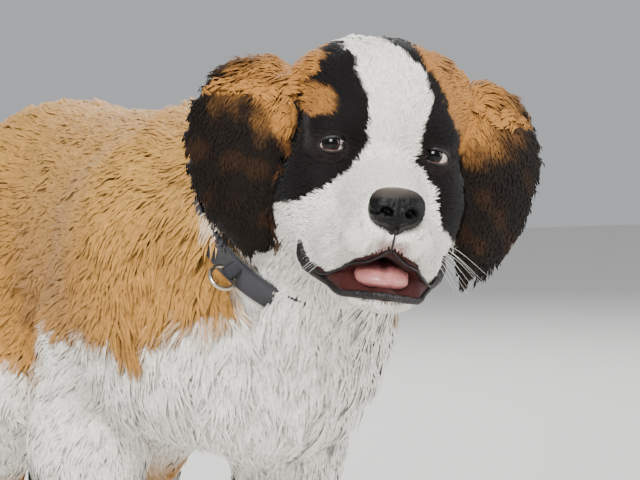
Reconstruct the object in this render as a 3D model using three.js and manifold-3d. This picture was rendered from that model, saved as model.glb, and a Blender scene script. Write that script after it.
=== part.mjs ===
// A saint bernard puppy of about fifteen weeks, standing, at life size.
// Millimetres, +Z up. The dog faces -Y and its own left side is at +X.
// The flesh is one smooth field of balls and limbs, parted with thin cuts into named nodes.
import * as THREE from "three";
import { mergeVertices } from "three/addons/utils/BufferGeometryUtils.js";
import Module from "manifold-3d";

const wasm = await Module();
wasm.setup();

// Driving dimensions, measured to the outside of the coat.
const BACK = 530; // height of the back above the floor
const BRISKET = 250; // height of the chest's lowest line
const CHEST_HALF = 112; // half the width of the ribs
const ELBOW = 262; // height of the elbows
const WRIST = 112; // height of the wrists
const HOCK = 160; // height of the hocks
const EYE_SPACING = 76; // between the middles of the eyes
const EYE_BALL = 10.5; // radius of an eyeball
const HEAD_AT = [22, -370, 500]; // midpoint between the eyes
const HEAD_TURN = { yaw: -20, pitch: 1, roll: 7 }; // degrees
const GAP = 0.3; // between touching nodes
const CREASE_GAP = 0.5; // taken where grown faces meet in a crease
const EDGE_DROP = 0.28; // how far a lock's edges bend down, for each unit of half width
const LOCK_SINK = 13; // depth of a lock's root
const SLIVER = 0.06; // no edge of a finished solid is shorter
const PAW_TOP = 54; // height where a paw parts from its leg
const COLLAR = { width: 24, proud: 2, deep: 4 };
const RING = { radius: 10, bar: 1.6, lift: 5, side: [-0.86, -0.35, -0.36] };
const SIDES = { left: 1, right: -1 };

const rad = THREE.MathUtils.degToRad;
const vec = (a) => new THREE.Vector3(...a);

// Signed distances. Each primitive is a function of a point that is negative inside.
function ball(centre, radii, turn = 0) {
  const [cx, cy, cz] = centre;
  const [rx, ry, rz] = radii;
  const c = Math.cos(rad(turn));
  const s = Math.sin(rad(turn)); // turned about X, nose end down for a positive angle
  return (x, y, z) => {
    const px = (x - cx) / rx;
    const dy = y - cy;
    const dz = z - cz;
    const py = (c * dy + s * dz) / ry;
    const pz = (-s * dy + c * dz) / rz;
    const k0 = Math.hypot(px, py, pz);
    const k1 = Math.hypot(px / rx, py / ry, pz / rz);
    return k1 < 1e-9 ? -Math.min(rx, ry, rz) : (k0 * (k0 - 1)) / k1;
  };
}

function limb(a, b, ra, rb) {
  const d = [b[0] - a[0], b[1] - a[1], b[2] - a[2]];
  const dd = d[0] * d[0] + d[1] * d[1] + d[2] * d[2];
  return (x, y, z) => {
    const px = x - a[0];
    const py = y - a[1];
    const pz = z - a[2];
    const t = Math.min(1, Math.max(0, (px * d[0] + py * d[1] + pz * d[2]) / dd));
    return Math.hypot(px - t * d[0], py - t * d[1], pz - t * d[2]) - (ra + t * (rb - ra));
  };
}

function blend(k, ...parts) {
  return (x, y, z) => {
    let d = parts[0](x, y, z);
    for (let i = 1; i < parts.length; i++) {
      const e = parts[i](x, y, z);
      const h = Math.max(k - Math.abs(d - e), 0) / k;
      d = Math.min(d, e) - (h * h * k) / 4;
    }
    return d;
  };
}

const both = (make) => [make(1), make(-1)];

// Trunk
const middle = (BACK + BRISKET) / 2;
const trunk = blend(
  45,
  ball([2, -92, middle], [CHEST_HALF, 172, (BACK - BRISKET) / 2]),
  ball([0, 70, BACK - 118], [96, 180, 114]),
  ball([-2, 180, BACK - 102], [96, 104, 104]),
  ball([14, -205, BRISKET + 102], [92, 72, 102]),
  ...both((s) => ball([s * 68 + 4, -138, 385], [52, 84, 108])),
  ...both((s) => ball([s * 68, 160, 372], [48, 88, 108])),
);

// Neck and head meet in the head's own frame, which has its origin between the eyes.
const headFrame = new THREE.Group();
headFrame.position.set(...HEAD_AT);
headFrame.rotation.set(rad(HEAD_TURN.pitch), rad(HEAD_TURN.roll), rad(HEAD_TURN.yaw), "ZXY");
headFrame.updateMatrixWorld(true);
const toDog = headFrame.matrixWorld.clone();
const toHead = toDog.clone().invert();
function seenFrom(matrix, field) {
  const e = matrix.elements;
  return (x, y, z) =>
    field(
      e[0] * x + e[4] * y + e[8] * z + e[12],
      e[1] * x + e[5] * y + e[9] * z + e[13],
      e[2] * x + e[6] * y + e[10] * z + e[14],
    );
}
const skullBase = vec([0, 84, -18]).applyMatrix4(toDog).toArray();
const throat = vec([0, 60, -64]).applyMatrix4(toDog).toArray();
const neck = blend(
  40,
  limb([0, -130, 432], [14, -225, 440], 92, 88),
  limb([14, -225, 440], skullBase, 88, 64),
  limb([16, -225, 400], throat, 70, 42),
);

// Head, in its own frame
const skull = blend(
  14,
  ball([0, 50, 14], [65, 63, 71]),
  ball([0, 22, 30], [44, 36, 42]),
  ...both((s) => ball([s * 34, 8, 13], [20, 15, 14])),
  ...both((s) => ball([s * 40, 32, -38], [29, 44, 44])),
  ...both((s) => ball([s * 47, 52, 35], [26, 32, 31])),
);
const muzzle = blend(
  12,
  limb([0, -6, -36], [0, -72, -44], 33, 26),
  ...both((s) => limb([s * 17, -74, -61], [s * 23, -38, -71], 17, 20)),
  ...both((s) => limb([s * 23, -38, -71], [s * 33, 6, -66], 20, 23)),
);
const head = blend(14, skull, muzzle);
const headAndNeck = blend(30, head, seenFrom(toDog, neck));
const body = blend(30, trunk, neck);
const bodyAndHead = blend(30, body, seenFrom(toHead, head));

// Legs, from the upper arm or thigh down into the paw
const foreleg = (x, y, lean) =>
  blend(
    26,
    limb([x * 0.9, y + 22, ELBOW + 70], [x, y + 18, ELBOW], 56, 47),
    limb([x, y + 18, ELBOW], [x + lean, y + 2, WRIST], 46, 31),
    limb([x + lean, y + 2, WRIST], [x + lean, y - 8, 38], 31, 29),
  );
const hindleg = (x, y) =>
  blend(
    26,
    ball([x * 0.92, y - 38, 338], [44, 82, 96], 24),
    limb([x, y - 88, 292], [x, y + 28, HOCK + 12], 52, 32),
    limb([x, y + 28, HOCK], [x, y + 12, 44], 30, 27),
  );
const LEGS = {
  fore_left: { field: foreleg(62, -152, -2), paw: [60, -172] },
  fore_right: { field: foreleg(-84, -84, -5), paw: [-89, -104] },
  hind_left: { field: hindleg(82, 196), paw: [82, 192] },
  hind_right: { field: hindleg(-80, 190), paw: [-80, 186] },
};

const tail = blend(
  24,
  limb([0, 236, 452], [0, 288, 420], 34, 33),
  limb([0, 288, 420], [-2, 322, 330], 33, 34),
  limb([-2, 322, 330], [-6, 326, 240], 34, 26),
  limb([-6, 326, 240], [-12, 312, 182], 26, 8),
);

// A closed geometry over the zero surface of a field: one vertex for each cell that the
// surface crosses, pulled onto the surface, and one quad for each grid edge that crosses it.
class FieldGeometry extends THREE.BufferGeometry {
  constructor(field, low, high, cell, swell = 0) {
    super();
    const n = low.map((v, i) => Math.max(2, Math.ceil((high[i] - v) / cell[i])) + 1);
    const at = (i, j, k) => i + n[0] * (j + n[1] * k);
    const value = new Float64Array(n[0] * n[1] * n[2]);
    for (let k = 0; k < n[2]; k++)
      for (let j = 0; j < n[1]; j++)
        for (let i = 0; i < n[0]; i++) {
          const rim = [i, j, k].some((v, axis) => v === 0 || v === n[axis] - 1);
          const d = field(low[0] + i * cell[0], low[1] + j * cell[1], low[2] + k * cell[2]);
          value[at(i, j, k)] = rim ? Math.max(d, 0.2 * cell[0]) : d;
        }
    const index = new Map();
    const positions = [];
    const corners = [0, 1].flatMap((a) => [0, 1].flatMap((b) => [0, 1].map((c) => [a, b, c])));
    for (let k = 0; k < n[2] - 1; k++)
      for (let j = 0; j < n[1] - 1; j++)
        for (let i = 0; i < n[0] - 1; i++) {
          const v = corners.map(([a, b, c]) => value[at(i + a, j + b, k + c)]);
          const inside = v.filter((d) => d < 0).length;
          if (inside === 0 || inside === 8) continue;
          const sum = [0, 0, 0];
          let hits = 0;
          for (let p = 0; p < 8; p++)
            for (const q of [p ^ 1, p ^ 2, p ^ 4]) {
              if (q < p || v[p] < 0 === v[q] < 0) continue;
              const t = v[p] / (v[p] - v[q]);
              for (let axis = 0; axis < 3; axis++)
                sum[axis] += corners[p][axis] + t * (corners[q][axis] - corners[p][axis]);
              hits++;
            }
          const start = [i, j, k].map((g, axis) => low[axis] + (g + sum[axis] / hits) * cell[axis]);
          index.set(at(i, j, k), positions.length / 3);
          const p = vec(FieldGeometry.settled(field, start, cell));
          const out = swell ? slope(field, p.toArray()).setLength(swell) : new THREE.Vector3();
          positions.push(...p.add(out).toArray());
        }
    const faces = [];
    const quad = (a, b, c, d, flip) => {
      const ids = [a, b, c, d].map((key) => index.get(key));
      const [p, q, r, s] = flip ? ids.reverse() : ids;
      const span = (m, o) =>
        Math.hypot(...[0, 1, 2].map((axis) => positions[3 * m + axis] - positions[3 * o + axis]));
      if (span(p, r) <= span(q, s)) faces.push(p, q, r, p, r, s);
      else faces.push(q, r, s, q, s, p);
    };
    for (let k = 0; k < n[2] - 1; k++)
      for (let j = 0; j < n[1] - 1; j++)
        for (let i = 0; i < n[0] - 1; i++) {
          const here = value[at(i, j, k)] < 0;
          if (j && k && here !== value[at(i + 1, j, k)] < 0)
            quad(at(i, j - 1, k - 1), at(i, j, k - 1), at(i, j, k), at(i, j - 1, k), !here);
          if (i && k && here !== value[at(i, j + 1, k)] < 0)
            quad(at(i - 1, j, k - 1), at(i - 1, j, k), at(i, j, k), at(i, j, k - 1), !here);
          if (i && j && here !== value[at(i, j, k + 1)] < 0)
            quad(at(i - 1, j - 1, k), at(i, j - 1, k), at(i, j, k), at(i - 1, j, k), !here);
        }
    this.setAttribute("position", new THREE.Float32BufferAttribute(positions, 3));
    this.setIndex(faces);
  }

  static settled(field, start, cell) {
    const p = [...start];
    for (let step = 0; step < 3; step++) {
      const d = field(...p);
      const g = slope(field, p);
      const size = g.lengthSq() || 1;
      [g.x, g.y, g.z].forEach((component, axis) => {
        const reach = 0.45 * cell[axis];
        const moved = p[axis] - (d * component) / size;
        p[axis] = Math.min(start[axis] + reach, Math.max(start[axis] - reach, moved));
      });
    }
    return p;
  }
}

function slope(field, [x, y, z], h = 0.5) {
  return new THREE.Vector3(
    field(x + h, y, z) - field(x - h, y, z),
    field(x, y + h, z) - field(x, y - h, z),
    field(x, y, z + h) - field(x, y, z - h),
  ).divideScalar(2 * h);
}

// Solids
function solidOf(geometry) {
  const bare = new THREE.BufferGeometry();
  bare.setAttribute("position", geometry.getAttribute("position"));
  bare.setIndex(geometry.getIndex());
  const merged = mergeVertices(bare, 1e-3);
  const vertProperties = merged.attributes.position.array;
  const triVerts = new Uint32Array(merged.index.array);
  const made = () => new wasm.Manifold(new wasm.Mesh({ numProp: 3, vertProperties, triVerts }));
  if (made().volume() < 0) triVerts.reverse(); // a mirrored piece is turned right side out
  return made();
}

const fieldSolid = (...about) => solidOf(new FieldGeometry(...about));

// The one closed surface that a node keeps, without the slivers that cutting leaves.
function largest(solid) {
  return solid.simplify(SLIVER).decompose().reduce((best, s) => (s.volume() > best.volume() ? s : best));
}

// Keeps what lies on the side that the normal points to.
function trimmed(solid, point, normal, gap = GAP / 2) {
  const n = vec(normal).normalize();
  return solid.trimByPlane(n.toArray(), n.dot(vec(point)) + gap);
}

function geometryOf(solid) {
  const mesh = solid.getMesh();
  const geometry = new THREE.BufferGeometry();
  geometry.setAttribute("position", new THREE.BufferAttribute(mesh.vertProperties, 3));
  geometry.setIndex(new THREE.BufferAttribute(mesh.triVerts, 1));
  geometry.computeVertexNormals();
  drawApart(geometry.getAttribute("position"), geometry.getAttribute("normal"));
  return geometry;
}

// Where a surface meets itself at a point, each side is drawn in a little, so that they part.
function drawApart(position, normal) {
  const places = new Map();
  for (let i = 0; i < position.count; i++) {
    const key = [position.getX(i), position.getY(i), position.getZ(i)].map((v) => v.toFixed(3)).join();
    places.set(key, [...(places.get(key) ?? []), i]);
  }
  for (const same of places.values()) {
    if (same.length < 2) continue;
    for (const i of same) {
      const p = new THREE.Vector3().fromBufferAttribute(position, i);
      p.addScaledVector(new THREE.Vector3().fromBufferAttribute(normal, i), -SLIVER);
      position.setXYZ(i, p.x, p.y, p.z);
    }
  }
}

// Materials
const finish = (color, roughness, metalness = 0) =>
  new THREE.MeshStandardMaterial({ color, roughness, metalness });
const FINISHES = {
  tan: finish(0xb98346, 0.85),
  white: finish(0xe9e4da, 0.85),
  mask: finish(0x2c221c, 0.8),
  ear: finish(0x4a3222, 0.85),
  leather: finish(0x17130f, 0.35),
  tongue: finish(0xc4727a, 0.35),
  eye: finish(0x1d120b, 0.08),
  webbing: finish(0x15151a, 0.7),
  steel: finish(0xc9c2ad, 0.25, 1),
};

const dog = new THREE.Group();
const headGroup = new THREE.Group();
headGroup.position.copy(headFrame.position);
headGroup.rotation.copy(headFrame.rotation);
dog.add(headGroup);

function place(parent, name, solid, material) {
  const mesh = new THREE.Mesh(geometryOf(largest(solid)), material);
  mesh.name = name;
  parent.add(mesh);
  return mesh;
}

// Planes that part the neck from the trunk and the head from the neck
const NECK_CUT = { point: [0, -200, 450], normal: [0.06, -0.81, 0.588] };
const HEAD_CUT = { point: [0, 74, -24], normal: [0, 0.914, -0.405] };
const headCutNormal = vec(HEAD_CUT.normal).transformDirection(toDog).toArray();
const headCutPoint = vec(HEAD_CUT.point).applyMatrix4(toDog).toArray();
const opposite = (n) => n.map((v) => -v);

// A closed loft through rings of points, with a fan over each end
class LoftGeometry extends THREE.BufferGeometry {
  constructor(rings) {
    super();
    const sides = rings[0].length;
    const middleOf = (ring) => ring.reduce((sum, p) => sum.add(p), vec([0, 0, 0])).divideScalar(sides);
    const points = [...rings.flat(), middleOf(rings[0]), middleOf(rings.at(-1))];
    const last = (rings.length - 1) * sides;
    const faces = [];
    for (let i = 0; i < sides; i++) {
      const j = (i + 1) % sides;
      faces.push(j, i, points.length - 2, last + i, last + j, points.length - 1);
      for (let a = 0; a < last; a += sides)
        faces.push(a + i, a + j, a + sides + j, a + i, a + sides + j, a + sides + i);
    }
    this.setAttribute("position", new THREE.Float32BufferAttribute(points.flatMap((p) => p.toArray()), 3));
    this.setIndex(faces);
  }
}

// The place where a straight line from a point comes out of a field
function surfaceFrom(field, start, direction, step = 1) {
  const p = vec(start);
  const d = vec(direction).normalize();
  while (field(...p.toArray()) < 0) p.addScaledVector(d, step);
  return p;
}
// Locks of the coat: flat, tapered, bent along the lie, with the root sunk in the flesh
const LOCK_RINGS = 3;
const LOCK_WIDTHS = [0.7, 1, 0.72, 0.1]; // share of the width at each ring
const LOCK_DEPTHS = [1, 1, 0.7, 0.25]; // share of the thickness at each ring
function lockThrough(points, normals, width, thick, swell) {
  const rings = points.map((p, i) => {
    const along = points[Math.min(i + 1, LOCK_RINGS)].clone().sub(points[Math.max(i - 1, 0)]).normalize();
    const up = normals[i].clone().addScaledVector(along, -normals[i].dot(along)).normalize();
    const side = up.clone().cross(along);
    const half = (width / 2) * LOCK_WIDTHS[i] + swell;
    const high = (thick / 2) * LOCK_DEPTHS[i] + swell;
    const end = i === LOCK_RINGS ? swell : 0;
    const at = p.clone().addScaledVector(along, end);
    return [
      at.clone().addScaledVector(side, half).addScaledVector(up, -EDGE_DROP * half),
      at.clone().addScaledVector(up, high),
      at.clone().addScaledVector(side, -half).addScaledVector(up, -EDGE_DROP * half),
      at.clone().addScaledVector(up, -high),
    ];
  });
  return solidOf(new LoftGeometry(rings));
}

// A lock that leaves a field's surface at a point and follows it, a little raised at the tip
function lockOn(field, root, lie, { length, width, thick, lift }, swell) {
  const p = root.clone();
  const points = [];
  const normals = [];
  for (let i = 0; i <= LOCK_RINGS; i++) {
    const t = i / LOCK_RINGS;
    const height = lift * t - LOCK_SINK * Math.pow(1 - t, 3);
    let n = slope(field, p.toArray()).normalize();
    for (let pull = 0; pull < 2; pull++) {
      p.addScaledVector(n, height - field(...p.toArray()));
      n = slope(field, p.toArray()).normalize();
    }
    points.push(p.clone());
    normals.push(n);
    const step = lie.clone().addScaledVector(n, -lie.dot(n)).normalize();
    p.addScaledVector(step, length / LOCK_RINGS);
  }
  return lockThrough(points, normals, width, thick, swell);
}

// A small fixed generator, so that every build draws the same coat
function randomFrom(seed) {
  let state = seed;
  return () => {
    state = (state * 1664525 + 1013904223) % 4294967296;
    return state / 4294967296 - 0.5;
  };
}

// Rows of locks whose roots are where rays from a line meet the field
function lockRows(field, plan, swell = 0) {
  const draw = randomFrom(plan.seed);
  const solids = [];
  for (let row = 0; row < plan.rows; row++) {
    const share = plan.rows > 1 ? row / (plan.rows - 1) : 0;
    const start = vec(plan.from).lerp(vec(plan.to), share);
    const count = plan.counts[row % plan.counts.length];
    for (let i = 0; i < count; i++) {
      const turn = plan.fan[0] + ((i + 0.5 + 0.35 * draw()) / count) * (plan.fan[1] - plan.fan[0]);
      const ray = vec(plan.ray).applyAxisAngle(vec(plan.hinge).normalize(), rad(turn));
      const root = surfaceFrom(field, start.toArray(), ray.toArray());
      const lie = vec(plan.lie).addScaledVector(ray, 0.2 * draw());
      lie.applyAxisAngle(ray.normalize(), rad(28 * draw()));
      const vary = 1 + 0.35 * draw();
      const size = { ...plan.size, length: plan.size.length * vary, width: plan.size.width * (2 - vary) };
      solids.push(lockOn(field, root, lie, size, swell));
    }
  }
  return solids;
}

const fused = (solid, locks) => locks.reduce((sum, lock) => sum.add(lock), solid);

const BIB = {
  from: [14, -190, 290], to: [16, -205, 428], rows: 6, counts: [4, 5, 6, 5, 6, 5],
  ray: [0, -1, 0.12], hinge: [0, 0, 1], fan: [-72, 72], lie: [0, -0.25, -1], seed: 11,
  size: { length: 62, width: 34, thick: 9, lift: 9 },
};
const BELLY = {
  from: [0, -60, 340], to: [0, 120, 360], rows: 3, counts: [2, 3, 2],
  ray: [0, 0, -1], hinge: [0, 1, 0], fan: [-32, 32], lie: [0, 1, -0.25], seed: 12,
  size: { length: 58, width: 32, thick: 8, lift: 9 },
};
const RUFF = {
  from: [18, -262, 440], to: [16, -285, 452], rows: 1, counts: [11],
  ray: [0, -0.35, -1], hinge: [0.06, -0.81, 0.588], fan: [-120, 120], lie: [0, 0.5, -0.8], seed: 13,
  size: { length: 50, width: 32, thick: 8, lift: 8 },
};
const TAIL_COAT = {
  from: [-1, 316, 350], to: [-9, 322, 220], rows: 4, counts: [4, 3, 3, 3],
  ray: [0, 1, 0], hinge: [0, 0, 1], fan: [-160, 160], lie: [0, 0.05, -1], seed: 14,
  size: { length: 66, width: 28, thick: 8, lift: 9 },
};
const CHEEKS = {
  from: [0, 40, -26], to: [0, 46, -52], rows: 2, counts: [2, 2],
  ray: [1, 0.05, -0.15], hinge: [0, 0, 1], fan: [-20, 30], lie: [0, 0.45, -1], seed: 15,
  size: { length: 36, width: 24, thick: 7, lift: 3 },
};
const breechesOf = ([x, y]) => ({
  from: [x, y - 30, 350], to: [x, y - 10, 230], rows: 3, counts: [3, 2, 2],
  ray: [0, 1, 0], hinge: [0, 0, 1], fan: [-50, 50], lie: [0, 0.25, -1], seed: 16,
  size: { length: 58, width: 28, thick: 8, lift: 8 },
});
const elbowsOf = ([x, y]) => ({
  from: [x, y + 14, 250], to: [x, y + 14, 215], rows: 2, counts: [2, 2],
  ray: [0, 1, 0], hinge: [0, 0, 1], fan: [-30, 30], lie: [0, 0.3, -1], seed: 17,
  size: { length: 44, width: 22, thick: 7, lift: 7 },
});
const mirrored = (plan) => ({ ...plan, ray: [-plan.ray[0], plan.ray[1], plan.ray[2]], fan: plan.fan.map((a) => -a) });

// Trunk and neck
const TORSO_BOX = [[-150, -330, 225], [150, 320, 560]];
const TORSO_CELL = [32, 36, 32];
function torsoSolid(swell) {
  const locks = [...lockRows(body, BIB, swell), ...lockRows(trunk, BELLY, swell)];
  const whole = fused(fieldSolid(body, ...TORSO_BOX, TORSO_CELL, swell), locks);
  return trimmed(whole, NECK_CUT.point, opposite(NECK_CUT.normal));
}
const torso = torsoSolid(0);
const torsoGrown = torsoSolid(CREASE_GAP);

const NECK_BOX = [[-110, -420, 330], [150, -140, 600]];
const NECK_CELL = [30, 30, 30];
function neckSolid(swell, locks = []) {
  const whole = fused(fieldSolid(bodyAndHead, ...NECK_BOX, NECK_CELL, swell), locks);
  const parted = trimmed(whole, NECK_CUT.point, NECK_CUT.normal);
  return trimmed(parted, headCutPoint, headCutNormal);
}

// Collar: a band let into the neck's coat, square to the neck, with a round ring
const COLLAR_CUT = { point: [18, -250, 440], normal: NECK_CUT.normal };
const collarAxis = vec(COLLAR_CUT.normal).normalize();
function bandOf(solid, half) {
  const shift = (by) => vec(COLLAR_CUT.point).addScaledVector(collarAxis, by).toArray();
  const cut = trimmed(solid, shift(-half), COLLAR_CUT.normal, 0);
  return trimmed(cut, shift(half), opposite(COLLAR_CUT.normal), 0);
}
const half = COLLAR.width / 2;
const collar = bandOf(neckSolid(COLLAR.proud), half).subtract(neckSolid(-COLLAR.deep));
const collarGrown = bandOf(neckSolid(COLLAR.proud + GAP), half + GAP).subtract(
  neckSolid(-COLLAR.deep - GAP),
);
const ringSolid = (swell) => {
  const ring = new THREE.TorusGeometry(RING.radius, RING.bar + swell, 6, 14);
  ring.applyMatrix4(new THREE.Matrix4().makeBasis(ringOut, collarAxis, ringAlong));
  ring.translate(...ringAt.toArray());
  return solidOf(ring);
};

const ringAlong = vec(RING.side).cross(collarAxis).normalize();
const ringOut = collarAxis.clone().cross(ringAlong).normalize();
const ringAt = surfaceFrom(bodyAndHead, COLLAR_CUT.point, ringOut.toArray()).addScaledVector(ringOut, RING.lift);

// Head, jaw, nose and tongue, all in the head's frame
const HEAD_BOX = [[-86, -112, -100], [86, 130, 98]];
const HEAD_CELL = [12.6, 12.6, 12.6];
const jawField = blend(
  10,
  ...both((s) => limb([s * 33, 10, -82], [s * 14, -60, -101], 19, 12)),
  ...both((s) => limb([s * 43, -8, -82], [s * 24, -58, -96], 9, 7)),
  limb([0, -40, -101], [0, -73, -103], 13, 11),
);
const noseField = blend(
  7,
  ball([0, -91, -33], [17, 12, 10]),
  ...both((s) => ball([s * 10, -89, -38], [10.5, 12, 12])),
  ball([0, -88, -48], [6, 8, 8]),
);
const JAW_BOX = [[-62, -100, -126], [62, 46, -56]];
const NOSE_BOX = [[-28, -112, -62], [28, -64, -14]];
function headSolid(swell, locks = []) {
  const whole = fused(fieldSolid(headAndNeck, ...HEAD_BOX, HEAD_CELL, swell), locks);
  return trimmed(whole, HEAD_CUT.point, opposite(HEAD_CUT.normal));
}
const jawSolid = (swell) => fieldSolid(jawField, ...JAW_BOX, [16, 16, 13], swell);
const noseSolid = (swell) => fieldSolid(noseField, ...NOSE_BOX, [8, 8, 7], swell);

// An ellipsoid with a few faces
function pebble([x, y, z], radii, wide = 12, high = 8) {
  const geometry = new THREE.SphereGeometry(1, wide, high).rotateX(Math.PI / 2);
  return solidOf(geometry.scale(...radii).translate(x, y, z));
}
const mouthSolid = (shrink) => pebble([0, -50, -79], [25, 43, 17].map((r) => r - shrink), 16, 10);
const mouth = mouthSolid(0);
const nostrils = both((s) => pebble([s * 9.5, -103, -39], [4.2, 9, 3.6], 8, 6))
  .concat(both((s) => pebble([s * 15, -99, -43], [4.5, 7, 1.8], 8, 6)));

// Eyes: a ball under two lids with an almond opening between them
const eyeAt = (s) => [s * (EYE_SPACING / 2), 1, 0];
const lids = both((s) => pebble(eyeAt(s), [15, 13, 13.2], 12, 8));
const sockets = both((s) => pebble(eyeAt(s), new Array(3).fill(EYE_BALL + GAP), 12, 8));
const openings = both((s) => pebble([s * (EYE_SPACING / 2 + 0.4), -11, -0.4], [9.8, 12, 5.9], 12, 6));

// Ears: a leaf hung from the side of the crown, cupped towards the cheek
const EAR_LINE = [
  [44, 50, 44],
  [72, 50, 45],
  [94, 46, 27],
  [105, 42, -4],
  [101, 38, -38],
  [90, 34, -68],
  [80, 30, -93],
];
const EAR_REACH = { left: -4, right: 4 }; // how far the middle of each ear swings out of its line
const EAR_HALF_WIDTHS = [26, 37, 48, 50, 44, 32, 11];
const EAR_THICKNESS = [16, 16, 14, 12, 11, 10, 7];
const EAR_CUP = 0.28; // depth of the cup for each unit of half width
const EAR_SIDES = 10;
const EAR_STEPS = 9;
const EAR_LOCK_ROWS = [[0.14, 4], [0.34, 3]]; // share of the ear's length, and how many
const EAR_LOCK = { width: 22, thick: 6 };
const earSized = (list, t) => {
  const at = Math.min(1, t) * (list.length - 1);
  const i = Math.min(list.length - 2, Math.floor(at));
  return list[i] + (at - i) * (list[i + 1] - list[i]);
};
// The ear's centre, its way across and its way out of the outer face, at a share t of its length
function earFrame(s, t) {
  const reach = s > 0 ? EAR_REACH.left : EAR_REACH.right;
  const swung = EAR_LINE.map(([x, y, z], i) => {
    const out = x + reach * Math.sin((Math.PI * i) / (EAR_LINE.length - 1));
    return vec([s * out, y, z]);
  });
  const line = new THREE.CatmullRomCurve3(swung);
  const down = line.getTangent(t);
  const wide = vec([s * 0.86, 0.5, 0]);
  wide.addScaledVector(down, -wide.dot(down)).normalize();
  return { centre: line.getPoint(t), wide, out: down.clone().cross(wide).multiplyScalar(s) };
}
function earPoint(s, t, across, through) {
  const { centre, wide, out } = earFrame(s, t);
  const bend = (-EAR_CUP * t * across * across) / earSized(EAR_HALF_WIDTHS, t);
  return centre.addScaledVector(wide, across).addScaledVector(out, through + bend);
}
function earSolid(s) {
  const rings = [];
  for (let step = 0; step <= EAR_STEPS; step++) {
    const t = step / EAR_STEPS;
    const ring = [];
    for (let i = 0; i < EAR_SIDES; i++) {
      const angle = (2 * Math.PI * i) / EAR_SIDES;
      const across = Math.cos(angle) * earSized(EAR_HALF_WIDTHS, t);
      ring.push(earPoint(s, t, across, (Math.sin(angle) * earSized(EAR_THICKNESS, t)) / 2));
    }
    rings.push(ring);
  }
  return fused(solidOf(new LoftGeometry(rings)), earLocks(s));
}
// Long soft locks that fall over the outer face from the fold of the ear
function earLocks(s) {
  const draw = randomFrom(21);
  const locks = [];
  for (const [start, count] of EAR_LOCK_ROWS)
    for (let i = 0; i < count; i++) {
      const share = ((i + 0.5) / count - 0.5) * 1.5;
      const points = [];
      const normals = [];
      const length = 0.3 + 0.1 * draw();
      const drift = 8 * draw();
      for (let ring = 0; ring <= LOCK_RINGS; ring++) {
        const t = start + (length * ring) / LOCK_RINGS;
        const across = share * earSized(EAR_HALF_WIDTHS, t) + (drift * ring) / LOCK_RINGS;
        const rise = -5 + 13 * Math.sqrt(ring / LOCK_RINGS);
        points.push(earPoint(s, t, across, rise + 0.25 * earSized(EAR_THICKNESS, t)));
        normals.push(earFrame(s, t).out);
      }
      locks.push(lockThrough(points, normals, EAR_LOCK.width, EAR_LOCK.thick, 0));
    }
  return locks;
}

const cheekLocks = [CHEEKS, mirrored(CHEEKS)].flatMap((plan) => lockRows(headAndNeck, plan));
const headWhole = fused(headSolid(0, cheekLocks), lids)
  .subtract(mouth)
  .subtract(noseSolid(GAP));
const headCut = [...sockets, ...openings].reduce((sum, cut) => sum.subtract(cut), headWhole);
const headGrown = headSolid(CREASE_GAP);
const jaw = jawSolid(0).subtract(mouth).subtract(headGrown);
const roundTongue = headGrown.add(jawSolid(CREASE_GAP)).subtract(mouthSolid(CREASE_GAP));
const tongue = pebble([0, -50, -87], [20, 36, 8.5]);

place(dog, "torso", torso, FINISHES.tan);
const neckLocks = [...lockRows(bodyAndHead, RUFF), ...lockRows(body, BIB)];
const neckWhole = neckSolid(0, neckLocks).subtract(collarGrown).subtract(ringSolid(GAP + 1));
place(dog, "neck", neckWhole, FINISHES.tan);
place(dog, "collar", collar, FINISHES.webbing);
place(dog, "collar_ring", ringSolid(0).subtract(collarGrown).subtract(neckSolid(GAP)), FINISHES.steel);
place(headGroup, "head", headCut, FINISHES.white);
place(headGroup, "jaw", jaw, FINISHES.white);
place(headGroup, "nose", nostrils.reduce((sum, cut) => sum.subtract(cut), noseSolid(0)), FINISHES.leather);
place(headGroup, "tongue", tongue.subtract(roundTongue), FINISHES.tongue);
for (const [side, s] of Object.entries(SIDES)) {
  place(headGroup, "eye_" + side, pebble(eyeAt(s), new Array(3).fill(EYE_BALL), 12, 8), FINISHES.eye);
  place(headGroup, "ear_" + side, earSolid(s).subtract(headGrown), FINISHES.ear);
}

// Legs and paws
const TOES = [[-27, -20], [-10, -38], [10, -38], [27, -20]];
const pawField = ([x, y]) =>
  blend(
    7,
    ball([x, y + 10, 22], [35, 36, 34]),
    ...TOES.map(([dx, dy]) => ball([x + dx, y + dy, 18], [15, 25, 20])),
    ...TOES.map(([dx, dy]) => limb([x + dx, y + dy - 20, 17], [x + dx, y + dy - 29, 9], 5, 3)),
  );
const LEG_CELL = [24, 24, 31];
for (const [name, leg] of Object.entries(LEGS)) {
  const [x, y] = leg.paw;
  const shank = blend(12, leg.field, pawField(leg.paw));
  const legBox = [[x - 80, y - 150, 8], [x + 80, y + 150, 430]];
  const fringe = lockRows(leg.field, name.startsWith("hind") ? breechesOf(leg.paw) : elbowsOf(leg.paw));
  const legWhole = fused(fieldSolid(leg.field, ...legBox, LEG_CELL), fringe);
  place(dog, name + "_leg", trimmed(legWhole, [0, 0, PAW_TOP], [0, 0, 1]).subtract(torsoGrown), FINISHES.white);
  const pawBox = [[x - 60, y - 90, -30], [x + 60, y + 80, 84]];
  const pawWhole = fieldSolid(shank, ...pawBox, [14, 14, 14]);
  const paw = trimmed(trimmed(pawWhole, [0, 0, PAW_TOP], [0, 0, -1]), [0, 0, 0], [0, 0, 1], 0);
  place(dog, name + "_paw", paw, FINISHES.white);
}
const tailCore = fieldSolid(tail, [-60, 190, 160], [60, 380, 500], [22, 22, 30]);
const tailWhole = fused(tailCore, lockRows(tail, TAIL_COAT));
place(dog, "tail", tailWhole.subtract(torsoGrown), FINISHES.tan);

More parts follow.
